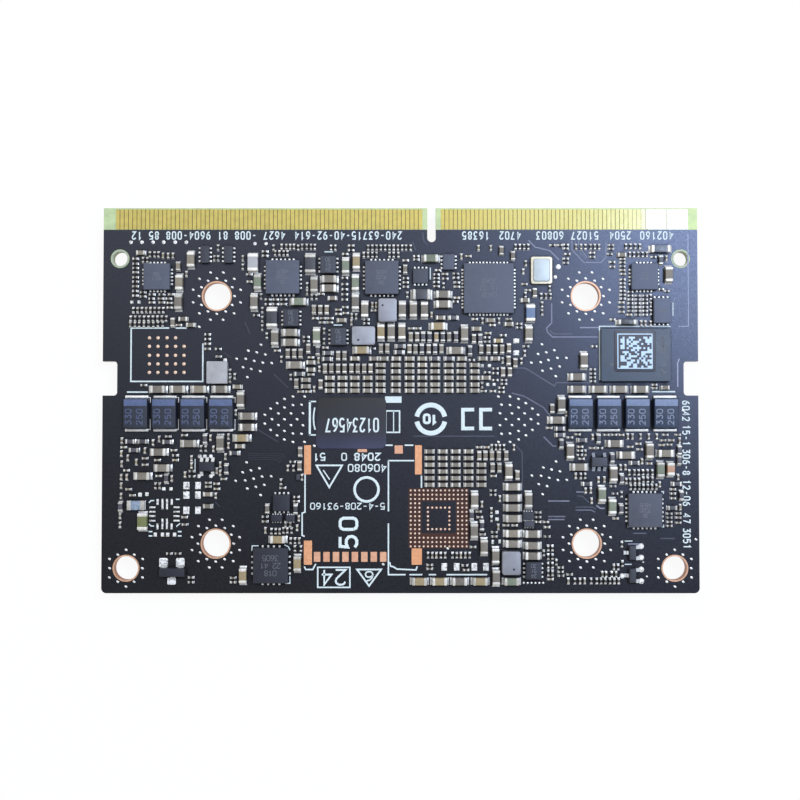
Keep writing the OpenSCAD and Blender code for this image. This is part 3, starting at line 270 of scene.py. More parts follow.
class Form:
    """Collects faces in millimetres, each with a tone, and becomes one mesh."""

    def __init__(self):
        self.points = []
        self.faces = []
        self.tones = []

    def face(self, corners, tone):
        self.faces.append(corners)
        self.tones.append(tone)

    def loft(self, loops, tone=0.5, low=True, high=True):
        """Joins closed loops of equal length, and closes the first and the last."""
        first = len(self.points)
        count = len(loops[0])
        for loop in loops:
            self.points.extend(loop)
        for k in range(len(loops) - 1):
            for i in range(count):
                j = (i + 1) % count
                a = first + k * count
                self.face((a + i, a + j, a + count + j, a + count + i), tone)
        if low:
            self.face(tuple(first + i for i in reversed(range(count))), tone)
        if high:
            last = first + (len(loops) - 1) * count
            self.face(tuple(last + i for i in range(count)), tone)

    def piece(self, name, material, slot, replaces=()):
        mesh = bpy.data.meshes.new(name)
        mesh.from_pydata([[v * MM for v in p] for p in self.points], [], self.faces)
        mesh.attributes.new("tone", "FLOAT", "FACE").data.foreach_set("value", self.tones)
        mesh.polygons.foreach_set("use_smooth", [True] * len(mesh.polygons))
        mesh.set_sharp_from_angle(angle=math.radians(40))
        mesh.materials.append(MATERIALS[material])
        made = add(name, mesh)
        if replaces:
            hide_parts(*replaces)
        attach(made, "root")


# The radius of a corner that looks square
SQUARE = 0.001


def rounded(low, high, radius, z, inset=0.0, steps=2):
    """A rectangle's outline with round corners, at height z."""
    x0, y0 = low[0] + inset, low[1] + inset
    x1, y1 = high[0] - inset, high[1] - inset
    # A little under half a side at most, so that every corner keeps its own points.
    r = max(min(radius, (x1 - x0) / 2.01, (y1 - y0) / 2.01), SQUARE)
    loop = []
    for cx, cy, start in ((x1 - r, y0 + r, -90), (x1 - r, y1 - r, 0),
                          (x0 + r, y1 - r, 90), (x0 + r, y0 + r, 180)):
        for i in range(steps + 1):
            a = math.radians(start + 90 * i / steps)
            loop.append((cx + r * math.cos(a), cy + r * math.sin(a), z))
    return loop


def soft_box(form, low, high, corner, edge, tone=0.5, draft=0.0, steps=2, under=False):
    """A block with round upright corners and a round edge at its free end, which is the lower one where it
    hangs under the card. draft is how much smaller it is there."""
    span = high[2] - low[2]
    foot, free, way = (high[2], low[2], -1) if under else (low[2], high[2], 1)
    loops = [rounded(low, high, corner, foot, 0, steps)]
    for share in (0.0, 0.35, 0.7, 1.0):
        a = share * math.pi / 2
        z = free - way * edge * (1 - math.sin(a))
        inset = draft * (1 - edge / span) + edge * (1 - math.cos(a))
        loops.append(rounded(low, high, corner, z, inset, steps))
    if under:
        loops = [list(reversed(loop)) for loop in loops]
    form.loft(loops, tone)


def slab(form, low, high, z, rise, corner=SQUARE, inset=0.0, steps=1, tone=0.5, under=True):
    """A flat patch from z up by rise; under says whether it has a lower face."""
    form.loft([rounded(low, high, corner, z, 0, steps), rounded(low, high, corner, z + rise, inset, steps)],
              tone, low=under)


def dome(form, x, y, radius, z, height, tone=0.5, sides=12, stretch=1.0, turn=0):
    """A bead on the card, stretched along turn degrees."""
    c, s = math.cos(math.radians(turn)), math.sin(math.radians(turn))
    loops = []
    for share, up in ((1.0, 0.0), (0.92, 0.45), (0.65, 0.8), (0.3, 1.0)):
        loop = []
        for i in range(sides):
            u = share * radius * stretch * math.cos(2 * math.pi * i / sides)
            v = share * radius / stretch * math.sin(2 * math.pi * i / sides)
            loop.append((x + u * c - v * s, y + u * s + v * c, z + up * height))
        loops.append(loop)
    form.loft(loops, tone, low=False)


def stroke(form, path, width, z, height, tone=0.5, closed=False):
    """A flat strip with mitred corners along path, a little narrower on top."""
    narrowing, bluntest = 0.85, 0.35
    count = len(path)
    loops = []
    for i in range(count):
        before = path[i - 1] if closed or i > 0 else None
        after = path[(i + 1) % count] if closed or i < count - 1 else None
        ways = []
        for a, b in ((before, path[i]), (path[i], after)):
            if a is not None and b is not None:
                length = math.dist(a, b)
                ways.append(((b[0] - a[0]) / length, (b[1] - a[1]) / length))
        dx = sum(w[0] for w in ways) / len(ways)
        dy = sum(w[1] for w in ways) / len(ways)
        size = max(math.hypot(dx, dy), bluntest)
        nx, ny = -dy / size ** 2 * width / 2, dx / size ** 2 * width / 2
        x, y = path[i]
        top_x, top_y = nx * narrowing, ny * narrowing
        loops.append([(x - nx, y - ny, z), (x - top_x, y - top_y, z + height),
                      (x + top_x, y + top_y, z + height), (x + nx, y + ny, z)])
    if closed:
        loops.append(loops[0])
    form.loft([list(reversed(loop)) for loop in loops], tone, low=not closed, high=not closed)


def arc(x, y, radius, start, end, steps=16):
    angles = [math.radians(start + (end - start) * i / steps) for i in range(steps + 1)]
    return [(x + radius * math.cos(a), y + radius * math.sin(a)) for a in angles]


# Stroke numerals on a grid of 4 by 6.
NUMERALS = {
    "0": [(0, 1.2), (0, 4.8), (0.4, 5.6), (1.2, 6), (2.8, 6), (3.6, 5.6), (4, 4.8), (4, 1.2), (3.6, 0.4),
          (2.8, 0), (1.2, 0), (0.4, 0.4), (0, 1.2)],
    "1": [(0.8, 4.8), (2.2, 6), (2.2, 0)],
    "2": [(0.1, 4.8), (0.5, 5.6), (1.3, 6), (2.8, 6), (3.7, 5.4), (4, 4.5), (3.6, 3.5), (0, 0), (4, 0)],
    "3": [(0.2, 6), (3.8, 6), (1.9, 3.7), (3, 3.5), (3.8, 2.8), (4, 1.7), (3.5, 0.6), (2.5, 0), (1.2, 0),
          (0.1, 0.8)],
    "4": [(3, 0), (3, 6), (0, 1.9), (4, 1.9)],
    "5": [(3.8, 6), (0.4, 6), (0.2, 3.3), (1.4, 3.8), (2.8, 3.7), (3.8, 2.9), (4, 1.7), (3.5, 0.6), (2.5, 0),
          (1.2, 0), (0.1, 0.7)],
    "6": [(3.4, 5.9), (1.8, 5.4), (0.6, 4), (0, 2.2), (0.2, 1), (1, 0.1), (2.4, 0), (3.5, 0.4), (4, 1.6),
          (3.6, 2.9), (2.6, 3.5), (1.2, 3.3), (0.1, 2.2)],
    "7": [(0, 6), (4, 6), (1.4, 0)],
    "8": [(2, 3.2), (0.6, 3.8), (0.3, 4.9), (1, 5.8), (2, 6), (3, 5.8), (3.7, 4.9), (3.4, 3.8), (2, 3.2),
          (0.5, 2.5), (0, 1.5), (0.6, 0.4), (2, 0), (3.4, 0.4), (4, 1.5), (3.5, 2.5), (2, 3.2)],
    "9": [(0.6, 0.1), (2.2, 0.6), (3.4, 2), (4, 3.8), (3.8, 5), (3, 5.9), (1.6, 6), (0.5, 5.6), (0, 4.4),
          (0.4, 3.1), (1.4, 2.5), (2.8, 2.7), (3.9, 3.8)],
    "-": [(0.6, 3), (3.4, 3)],
}


# The pitch of numbers, in heights
PITCH = 0.8


def numerals(form, text, x, y, height, turn, z, width, rise, tone=0.5, step=PITCH, slim=1.0):
    """Numbers from x, y along turn degrees; step is their pitch in heights, and slim makes them narrow."""
    unit = height / 6
    c, s = math.cos(math.radians(turn)), math.sin(math.radians(turn))
    for k, letter in enumerate(text):
        if letter != " ":
            path = [(px * unit * slim + k * step * height, py * unit) for px, py in NUMERALS[letter]]
            turned = [(x + px * c - py * s, y + px * s + py * c) for px, py in path]
            stroke(form, turned, width, z, rise, tone)


def place(x, y):
    """A point written from the card's corner, in the frame's own millimetres."""
    return x - CARD_W / 2, y - CARD_H / 2


def solids(name):
    """The lowest and highest corners of each solid of a CAD node, in millimetres, in a fixed order."""
    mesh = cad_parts[name].data
    keys = [tuple(round(c / MM, 3) for c in v.co) for v in mesh.vertices]
    owner = {}

    def root(key):
        while owner.setdefault(key, key) != key:
            owner[key] = owner[owner[key]]
            key = owner[key]
        return key

    for polygon in mesh.polygons:
        corners = [keys[i] for i in polygon.vertices]
        for corner in corners[1:]:
            owner[root(corner)] = root(corners[0])
    groups = {}
    for key in set(keys):
        groups.setdefault(root(key), []).append(key)
    return sorted((tuple(map(min, zip(*g))), tuple(map(max, zip(*g)))) for g in groups.values())


def middle(box):
    return (box[0][0] + box[1][0]) / 2, (box[0][1] + box[1][1]) / 2


def near(box, points, reach=0.45):
    """True if one of the points, written from the card's corner, is within reach of the box's middle."""
    x, y = middle(box)
    return any(math.dist((x, y), place(*p)) < reach for p in points)


# Two-ended chips


def solder_joint(form, box, axis, way, reach, height, tone):
    """A concave fillet of solder from a chip's end down to the outer edge of its land."""
    low, high = box
    edge = high[axis] if way > 0 else low[axis]
    side_axis = 1 - axis
    half = (high[side_axis] - low[side_axis]) / 2
    centre = (high[side_axis] + low[side_axis]) / 2
    z = low[2]
    thinnest = 0.012
    loops = []
    for share, up in ((-0.4, 1.0), (0.0, 0.9), (0.1, 0.5), (0.3, 0.22), (0.7, 0.14), (1.0, 0.06)):
        flare = half * 0.94 + 0.05 * max(share, 0)
        loop = []
        for side, drop in ((-1, 0.0), (-0.96, 0.55), (-0.7, 1.0), (0.7, 1.0), (0.96, 0.55), (1, 0.0)):
            point = [0, 0, z + max(up * height * drop, thinnest if drop else 0.0)]
            point[axis] = edge + way * share * reach
            point[side_axis] = centre + side * flare
            loop.append(tuple(point))
        loops.append(loop)
    if (way > 0) == (axis == 0):
        loops = [list(reversed(loop)) for loop in loops]
    form.loft(loops, tone)


def terminal_box(low, high, axis, way, end):
    """The corners of a chip's terminal at its low end, or at its high end where way is 1."""
    a, b = list(low), list(high)
    if way < 0:
        b[axis] = low[axis] + end
    else:
        a[axis] = high[axis] - end
    return a, b


def chip(box, axis, end, body, ends, solder, tone, fine, reach):
    """A chip along axis: a body, two wrapped terminals with edges of radius fine, and its solder joints."""
    low, high = box
    lip = 0.02
    inner_low, inner_high = list(low), list(high)
    inner_low[axis] += end * 0.5
    inner_high[axis] -= end * 0.5
    inner_low[1 - axis] += lip
    inner_high[1 - axis] -= lip
    inner_high[2] -= lip
    soft_box(body, inner_low, inner_high, 0.02, 0.02, tone, steps=1)
    bright = dice.random()
    for way in (-1, 1):
        shine = min(max(bright + dice.uniform(-0.15, 0.15), 0), 1)
        soft_box(ends, *terminal_box(low, high, axis, way, end), fine, fine, shine)
        solder_joint(solder, box, axis, way, reach, (high[2] - low[2]) * 0.6, dice.random())


def joined_chips(kind):
    """(axis, whole box, body box) of each chip of a kind whose bodies and ends are two CAD nodes."""
    caps = solids(kind + "_ends")
    found = []
    for body in solids(kind + "_bodies"):
        here = middle(body)
        pair = sorted(caps, key=lambda c: math.dist(middle(c), here))[:2]
        gap = [abs(middle(pair[0])[i] - middle(pair[1])[i]) for i in (0, 1)]
        axis = 0 if gap[0] > gap[1] else 1
        lows, highs = zip(body, *pair)
        whole = tuple(map(min, zip(*lows))), tuple(map(max, zip(*highs)))
        found.append((axis, whole, body))
    return found


# Browner capacitors, and chips of a colour of their own
TAN_LARGE = [
    (16.2, 18.15), (20.45, 6.3), (22.75, 3.5), (37, 1.42), (39.35, 1.42), (44.1, 1.42), (16.4, 2.1),
    (39, 31.35), (30.1, 28.4), (32.3, 30.4), (8.6, 36.5), (29.65, 38.6)]
TAN_MEDIUM = [
    (7.75, 33.35), (7.75, 33.9), (31.65, 33), (29.1, 32.35), (39, 29.95), (46.25, 29.5), (21.75, 13.75),
    (21.55, 13), (22, 13), (38.97, 4.42), (41.83, 4.42), (54.35, 1.4), (56.25, 1.4), (34.9, 33),
    (37.3, 33), (39.7, 33.9), (39.7, 35), (26.3, 35.8), (24.6, 36.1), (19.95, 29.8), (21.6, 29.4)]
GREY_FILM = [(65.35, 40.35)]
OLIVE = [(4.65, 8.4)]
PINK = [(66.38, 14.5)]
BLUE = [(50.05, 32.8)]

solder = Form()
terminals = Form()


def chip_group(kind, material, slot, end, fine, reach, tans=()):
    """All chips of a kind: end is how long their terminals are, and reach how far their solder goes."""
    body = Form()
    caps = Form()
    for axis, whole, _ in joined_chips(kind):
        tone = 1.0 if near(whole, tans) else dice.uniform(0.05, 0.6)
        chip(whole, axis, end, body, caps, solder, tone, fine, reach)
    body.piece(kind + "s", material, slot, (kind + "_bodies",))
    caps.piece(kind + "s_terminals", "ends", "chip_ends", (kind + "_ends",))


chip_group("large_capacitor", "beige", "beige_ceramic", end=0.35, fine=0.07, reach=0.26, tans=TAN_LARGE)
chip_group("green_capacitor", "green", "green_ceramic", end=0.35, fine=0.07, reach=0.26, tans=TAN_LARGE)
chip_group("medium_capacitor", "beige", "beige_ceramic", end=0.2, fine=0.05, reach=0.1, tans=TAN_MEDIUM)
chip_group("medium_resistor", "grey_film", "black_film", end=0.18, fine=0.04, reach=0.16)
chip_group("black_chip", "film", "black_film", end=0.36, fine=0.07, reach=0.26, tans=GREY_FILM)


def single_chips(source, name, material, slot, end, tones):
    """Chips that are one solid in the CAD model get a body and terminals of their own here."""
    body = Form()
    for box in solids(source):
        axis = 0 if box[1][0] - box[0][0] > box[1][1] - box[0][1] else 1
        chip(box, axis, end, body, terminals, solder, dice.uniform(*tones), fine=0.03, reach=0.09)
    body.piece(name, material, slot, (source,))


single_chips("small_capacitors", "small_capacitors_bodies", "beige", "small_chips", 0.15, (0.1, 0.8))
single_chips("small_resistors", "small_resistors_bodies", "mixed_film", "small_chips", 0.15, (0.0, 1.0))
single_chips("signal_filter", "filter_block", "filter", "filter_ceramic", 0.45, (0.3, 0.7))

coloured = {"olive": Form(), "pink": Form(), "blue": Form(), "choke": Form()}
coloured_caps = Form()
for axis, whole, _ in joined_chips("coloured_chip"):
    kind = ("olive" if near(whole, OLIVE) else "pink" if near(whole, PINK)
            else "blue" if near(whole, BLUE) else "choke")
    chip(whole, axis, 0.4, coloured[kind], coloured_caps, solder, dice.random(), fine=0.07, reach=0.2)
for kind, form in coloured.items():
    nodes = ("coloured_chip_bodies",) if kind == "olive" else ()
    form.piece("coloured_chip_" + kind, kind, "coloured_ceramic", nodes)
coloured_caps.piece("coloured_chip_terminals", "ends", "chip_ends", ("coloured_chip_ends",))
terminals.piece("small_chip_terminals", "ends", "chip_ends")

# The capacitors that hang from the lower face
body = Form()
caps = Form()
for axis, (low, high), inner in joined_chips("lower_capacitor"):
    end = inner[0][axis] - low[axis]
    a, b = list(low), list(high)
    a[axis] += end / 2
    b[axis] -= end / 2
    a[2] += 0.02
    soft_box(body, a, b, 0.03, 0.03, dice.uniform(0, 0.7), under=True)
    for way in (-1, 1):
        soft_box(caps, *terminal_box(low, high, axis, way, end), 0.05, 0.05, dice.random(), under=True)
body.piece("lower_capacitors", "beige", "beige_ceramic", ("lower_capacitor_bodies",))
caps.piece("lower_capacitor_terminals", "ends", "chip_ends", ("lower_capacitor_ends",))

# Packages


# How pale each package's resin is drawn, as (x, y, tone); the tones rise towards the right and the contact
# edge
CONTROLLER_TONE = 0.85
RESIN_TONES = [
    (11.95, 39.5, 0.48), (14.7, 39.5, 0.48), (20.4, 8.7, 0.12), (21, 10.5, 0.1), (22, 8.7, 0.3),
    (22.9, 13.5, 0.55), (37.15, 37, 0.62), (40.45, 38.6, 0.82), (49.65, 9, 0.4), (49.75, 8, 0.6),
    (22.05, 32.05, 0.42), (26.35, 38.25, 0.56), (27.55, 29.85, 0.5), (50.25, 2.65, 0.22),
    (19.75, 3.25, 0.15), (8.35, 2.45, 0.12), (12.3, 14.7, 0.15), (57.95, 15.25, 0.58), (61.75, 2.1, 0.45),
    (61.75, 4.7, 0.5), (62.2, 27.7, 0.7), (63.2, 9.65, 0.75), (32.65, 36.75, 0.78), (65.3, 32.9, 1),
    (63.3, 36.85, 0.96), (47.65, 3.55, 0), (30.5, 29.9, 0.5), (33.3, 32.9, 0.25)]
PIN_MARK_ROOM = 0.01


def packages(nodes, name, material, slot, corner=0.08, edge=0.04, draft=0.0, shave=0.0, under=False,
             usual=CONTROLLER_TONE):
    """Moulded bodies in the place of CAD blocks. shave keeps room for a print on top, and usual is the tone
    of a body that RESIN_TONES doesn't name."""
    form = Form()
    for source in nodes:
        for box in solids(source):
            low, high = box
            tones = [tone for *spot, tone in RESIN_TONES if near(box, [spot], 0.3)] or [usual]
            top = (high[0], high[1], high[2] - shave)
            soft_box(form, low, top, corner, edge, tones[-1], draft, 3, under)
    form.piece(name, material, slot, tuple(nodes))


packages(["hub_controller", "sensor_controllers", "square_controllers", "clock_buffer"],
         "converter_packages", "resin", "grey_resin")
packages(["level_shifters", "small_logic_chips", "wide_pitch_controller", "load_switches"], "logic_packages",
         "resin", "package_resin")
packages(["supply_transistors", "regulators", "dual_transistors"], "legged_packages", "resin",
         "package_resin", edge=0.06, draft=0.06)
packages(["flash_memory"], "flash_package", "blue_resin", "package_resin", corner=0.12)
packages(["crystal_base"], "crystal_frame", "rim", "crystal_ceramic", corner=0.25, edge=0.05)
packages(["crystal_lid"], "crystal_cover", "lid", "crystal_cover", corner=0.3, edge=0.06, draft=0.08)
packages(["upper_inductors"], "inductor_blocks", "ferrite", "ferrite_case", corner=0.25, edge=0.08,
         shave=PIN_MARK_ROOM)
packages(["line_choke"], "choke_block", "choke", "choke_case", corner=0.12, edge=0.08)
packages(["processor_substrate"], "substrate_plate", "substrate", "substrate", corner=0.2, edge=0.05,
         under=True)
packages(["processor_die"], "die_block", "silicon", "silicon", corner=0.05, edge=0.02, under=True)
packages(["memory_packages", "power_controllers"], "lower_packages", "resin", "package_resin", under=True,
         usual=0.35)
packages(["power_inductors"], "coil_blocks", "coil", "coil_case", corner=0.5, edge=0.2, under=True)


def feet(nodes, name, material, slot, corner, edge):
    form = Form()
    for source in nodes:
        for low, high in solids(source):
            soft_box(form, low, high, corner, edge, dice.random())
    form.piece(name, material, slot, tuple(nodes))


feet(["converter_feet", "switch_feet"], "package_feet", "tin", "tin", 0.05, 0.06)
feet(["tinned_lands"], "solder_beads", "solder_painted_reflections", "tin", 0.12, 0.06)
feet(["polymer_capacitor_feet"], "polymer_terminals", "tin", "tin", 0.08, 0.12)

# Polymer capacitors

BAND_DEPTH = 0.77
BAND_END_GAP = 0.12
BAND_SIDE_GAP = 0.1
NUMBER_START = 1.3
NUMBER_COLUMNS = ((0.95, "330"), (2.24, "250"))
PRINT_ROOM = 0.012
LAND_EDGE = 0.12
polymer = Form()
bands = Form()
polymer_print = Form()
outlines = Form()
for low, high in solids("polymer_capacitor_bodies"):
    x, y = middle((low, high))
    top = high[2] - PRINT_ROOM
    # The cases are drawn bluer towards the right, a painted glare.
    soft_box(polymer, low, (high[0], high[1], top), 0.12, 0.07, (x + 40) / 80, 0.04, 3)
    band_end = high[1] - BAND_END_GAP
    soft_box(bands, (low[0] + BAND_SIDE_GAP, band_end - BAND_DEPTH, top),
             (high[0] - BAND_SIDE_GAP, band_end, top + 0.01), 0.05, 0.005)
    for column, text in NUMBER_COLUMNS:
        numerals(polymer_print, text, low[0] + column, y - NUMBER_START, 0.66, 90, top, 0.13, 0.008, 0.6, 1)
    # Beside the left row the edges of the lands show.
    if x < 0:
        right = high[0] + LAND_EDGE
        for start, turn, end in ((low[1] + 1.1, low[1] - LAND_EDGE, low[0] + 0.35),
                                 (high[1] - 0.5, high[1] + LAND_EDGE, low[0] + 0.3)):
            stroke(outlines, [(right, start), (right, turn), (end, turn)], 0.1, CARD_TOP, 0.03)
outlines.piece("polymer_land_edges", "tin", "tin")
polymer.piece("polymer_cases", "polymer", "polymer_case", ("polymer_capacitor_bodies",))
bands.piece("polymer_bands", "polymer_band", "polymer_case")
polymer_print.piece("polymer_numbers", "polymer_ink", "polymer_case")

# Prints on packages

PRINT_RISE = 0.006
ROW_PITCH = 1.45
WIDEST_ROW = 0.9
marks = Form()


def print_rows(box, rows, height):
    """Faint rows of plain numbers on a package, which read from the contact edge."""
    low, high = box
    for k, text in enumerate(rows):
        length = min((len(text) - 0.2) * PITCH * height, (high[0] - low[0]) * WIDEST_ROW)
        y = middle(box)[1] + ((len(rows) - 1) / 2 - k) * height * ROW_PITCH + height / 2
        numerals(marks, text, (low[0] + high[0] + length) / 2, y, height, 180, high[2], 0.06, PRINT_RISE, 0.3)


for source, rows, height in (("hub_controller", ["2048", "16 32", "0408"], 0.55),
                             ("square_controllers", ["4805", "7020", "36"], 0.42),
                             ("sensor_controllers", ["780", "6511"], 0.36),
                             ("wide_pitch_controller", ["3605", "22 41", "018"], 0.6),
                             ("load_switches", ["30", "51", "24"], 0.4),
                             ("clock_buffer", ["905"], 0.36)):
    for box in solids(source):
        print_rows(box, rows, height)
for low, high in solids("flash_memory"):
    for text, y in (("680", high[1] - 1.0), ("14", low[1] + 2.1)):
        numerals(marks, text, high[0] - 1.35, y, 0.8, -90, high[2], 0.12, PRINT_RISE, 0.15, 0.9)
    dome(marks, low[0] + 1.2, low[1] + 1.95, 0.2, high[2], PRINT_RISE, 0.1)
marks.piece("package_numbers", "print", "package_resin")

# The inductors' pin marks, from the left and plain sides, or where negative from the opposite ones
PIN_MARKS = ((0.75, 0.55), (0.5, -0.8), (-0.8, 0.65))
pins = Form()
for (low, high), (dx, dy) in zip(solids("upper_inductors"), PIN_MARKS):
    x = (low if dx > 0 else high)[0] + dx
    y = (low if dy > 0 else high)[1] + dy
    dome(pins, x, y, 0.13, high[2] - PIN_MARK_ROOM, 0.009, 0.2)
pins.piece("inductor_pin_marks", "resin", "ferrite_case")

# Materials of the CAD nodes that stay

for name, material in (("laminate", "laminate"), ("upper_mask", "mask"), ("lower_mask", "mask"),
                       ("upper_contacts", "gold"), ("lower_contacts", "gold"),
                       ("heat_sink_hole_plating", "copper_ring"), ("mounting_hole_plating", "copper_ring"),
                       ("ball_lands", "land_copper"),
                       ("supply_transistor_legs", "tin"), ("regulator_legs", "leg_tin"),
                       ("dual_transistor_legs", "tin"), ("processor_frame", "frame_metal")):
    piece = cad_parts[name]
    piece.data.materials.clear()
    piece.data.materials.append(MATERIALS[material])

# Bare lands, and the gaps between the contacts

SMALL_LAND = 1.3
small_lands = Form()
large_lands = Form()
for low, high in solids("card_socket_lands"):
    form = small_lands if max(high[0] - low[0], high[1] - low[1]) < SMALL_LAND else large_lands
    slab(form, low, high, low[2], high[2] - low[2], 0.05, steps=2, tone=dice.random())
small_lands.piece("small_socket_lands", "dull_copper", "copper")
large_lands.piece("large_socket_lands", "copper", "copper", ("card_socket_lands",))

# The lands of a package that isn't fitted are copper, and the other test lands are tinned.
copper_beads = Form()
tin_beads = Form()
copper_low, copper_high = place(5, 25), place(10, 30.3)
for box in solids("test_lands"):
    x, y = middle(box)
    inside = copper_low[0] < x < copper_high[0] and copper_low[1] < y < copper_high[1]
    radius = (box[1][0] - box[0][0]) / 2
    dome(copper_beads if inside else tin_beads, x, y, radius, CARD_TOP, 0.05, 0.8 if inside else 0.9)
copper_beads.piece("copper_test_beads", "pale_copper", "copper", ("test_lands",))
tin_beads.piece("tinned_test_beads", "solder_painted_reflections", "tin")

# Wider gaps between contacts are notches.
WIDEST_GAP = 0.3
gaps = Form()
fingers = solids("upper_contacts")
for (low, high), (after, _) in zip(fingers, fingers[1:]):
    if 0 < after[0] - high[0] < WIDEST_GAP:
        slab(gaps, (high[0], low[1] - 0.05), (after[0], high[1]), low[2], 0.01)
gaps.piece("contact_gaps", "contact_gap", "laminate")

# The bare ground round the ball lands, and a bead on each land
ground = Form()
for x0, y0, x1, y1 in ((35.75, 5.2, 42.75, 7), (35.75, 10.7, 42.75, 12.2), (35.75, 7, 37.25, 10.7),
                       (41.25, 7, 42.75, 10.7)):
    slab(ground, place(x0, y0), place(x1, y1), CARD_TOP, 0.004)
ground.piece("ball_ground", "ground", "solder_mask")
balls = Form()
for box in solids("ball_lands"):
    dome(balls, *middle(box), 0.12, CARD_TOP, 0.04, dice.random())
balls.piece("ball_beads", "pale_copper", "copper")

# The pale edge of the mask's opening round the two latch holes

rims = Form()
for latch_hole in ((1.95, 39.05), (67.65, 39.05)):
    path = arc(*place(*latch_hole), 0.93, 0, 345, 23)
    stroke(rims, path, 0.16, CARD_TOP - 0.02, 0.03, closed=True)
rims.piece("latch_hole_rims", "hole_rim", "laminate")

# Vias

# Vias that repeat on all four sides of FAN_CENTRE
FAN = [
    (15.95, 0.52), (15.28, 1.25), (15.12, 0), (14.52, 1.88), (14.37, 0.68), (13.67, 0), (13.67, 1.37),
    (13.67, 2.37), (12.9, 0.68), (12.67, 1.66), (12.67, 2.65), (12.2, 0), (11.67, 1.7), (11.5, 0.7),
    (11.32, 2.65)]
FAN_CENTRE = (34.92, 20.23)
LOOSE_VIAS = [
    (11.25, 31.05), (17, 28.25), (15.65, 27.3), (16.7, 27.3), (16.4, 26.3), (17.35, 26.1), (16.9, 25.15),
    (18.5, 28.95), (18, 28.05), (19, 27.8), (17.7, 27.05), (18.7, 26.85), (19.75, 26.8), (18.4, 25.85),
    (51.35, 29), (50.9, 27.85), (51.85, 28.05), (50.1, 26.85), (51.2, 26.9), (52.1, 27.15), (51.4, 25.9),
    (52.4, 26.15), (52.8, 28.3), (53.15, 27.4), (54.2, 27.4), (53.4, 26.4), (52.95, 25.25), (24.75, 17.13),
    (16.85, 15.2), (16.4, 14.05), (17.37, 14.27), (18.35, 14.5), (15.6, 13.05), (16.7, 13.1), (17.68, 13.3),
    (18.66, 13.55), (19.73, 13.58), (16.95, 12.15), (17.94, 12.35), (18.93, 12.58), (18.5, 11.4),
    (50.13, 13.65), (51.2, 13.63), (51.46, 14.6), (52.15, 13.4), (50.92, 12.66), (51.9, 12.43),
    (52.42, 14.36), (52.95, 15.3), (53.4, 14.15), (53.15, 13.15), (54.2, 13.15), (51.37, 11.5),
    (67.8, 21.25), (69.2, 6.25), (32.8, 3.35), (40.3, 5.2)]
# Vias round each fixing hole
CORNER_RING = [
    (0, 2.13), (0, -2.13), (0.95, 1.57), (-0.95, 1.57), (0.95, -1.57), (-0.95, -1.57), (1.93, 1.07),
    (-1.93, 1.07), (1.93, -1.07), (-1.93, -1.07), (1.9, 0), (-1.9, 0)]
vias = Form()
via_points = [place(*p) for p in LOOSE_VIAS]
for dx, dy in FAN:
    for sx in (-1, 1):
        for sy in ((-1, 1) if dy else (1,)):
            via_points.append(place(FAN_CENTRE[0] + sx * dx, FAN_CENTRE[1] + sy * dy))
# Two rings of vias round each heat sink hole
RING = 12
for box in solids("heat_sink_hole_plating"):
    x, y = middle(box)
    for radius, start in ((2.08, 0), (2.87, 15)):
        for k in range(RING):
            a = math.radians(start + 360 / RING * k)
            via_points.append((x + radius * math.cos(a), y + radius * math.sin(a)))
for box in solids("mounting_hole_plating"):
    x, y = middle(box)
    via_points.extend((x + dx, y + dy) for dx, dy in CORNER_RING)
VIA_RISE = 0.035
for x, y in via_points:
    dome(vias, x, y, 0.15, CARD_TOP, VIA_RISE, dice.uniform(0.5, 1), stretch=1.2, turn=-30)
# A row of six smaller ones by the plain edge
for k in range(6):
    dome(vias, *place(49.15 + 0.45 * k, 1.2), 0.12, CARD_TOP, VIA_RISE, 0.9)
vias.piece("via_beads", "tin", "tin")

solder.piece("solder_joints", "solder", "tin")

# White print

ink = Form()
INK_RISE = 0.015


def line(*points, width=0.17, closed=False):
    stroke(ink, [place(*p) for p in points], width, CARD_TOP, INK_RISE, 0.5, closed)


def bar(x0, y0, x1, y1):
    slab(ink, place(x0, y0), place(x1, y1), CARD_TOP, INK_RISE, 0.02, 0.005)


def number(text, x, y, height, turn=180, width=0.12, step=PITCH, slim=1.0):
    numerals(ink, text, *place(x, y), height, turn, CARD_TOP, width, INK_RISE, 0.6, step, slim)


# Numbers along the contact edge and up the right side
for x, text in ((66.7, "402160"), (61.75, "2504"), (57.95, "51027"), (53.85, "60803"), (48.85, "4702"),
                (45.15, "16385"), (34.9, "240-63715-40-92-614"), (21.2, "4627 -008 81 9604-008 85 12")):
    number(text, x, 42.2, 0.85, width=0.15, step=0.79, slim=0.66)
for y, text in ((22.35, "6042"), (19.5, "15-1"), (16.7, "306-8"), (13.1, "12-06"), (9.2, "47"),
                (7.5, "3051")):
    number(text, 67.75, y, 0.78, -90, 0.145, 0.81, 0.74)

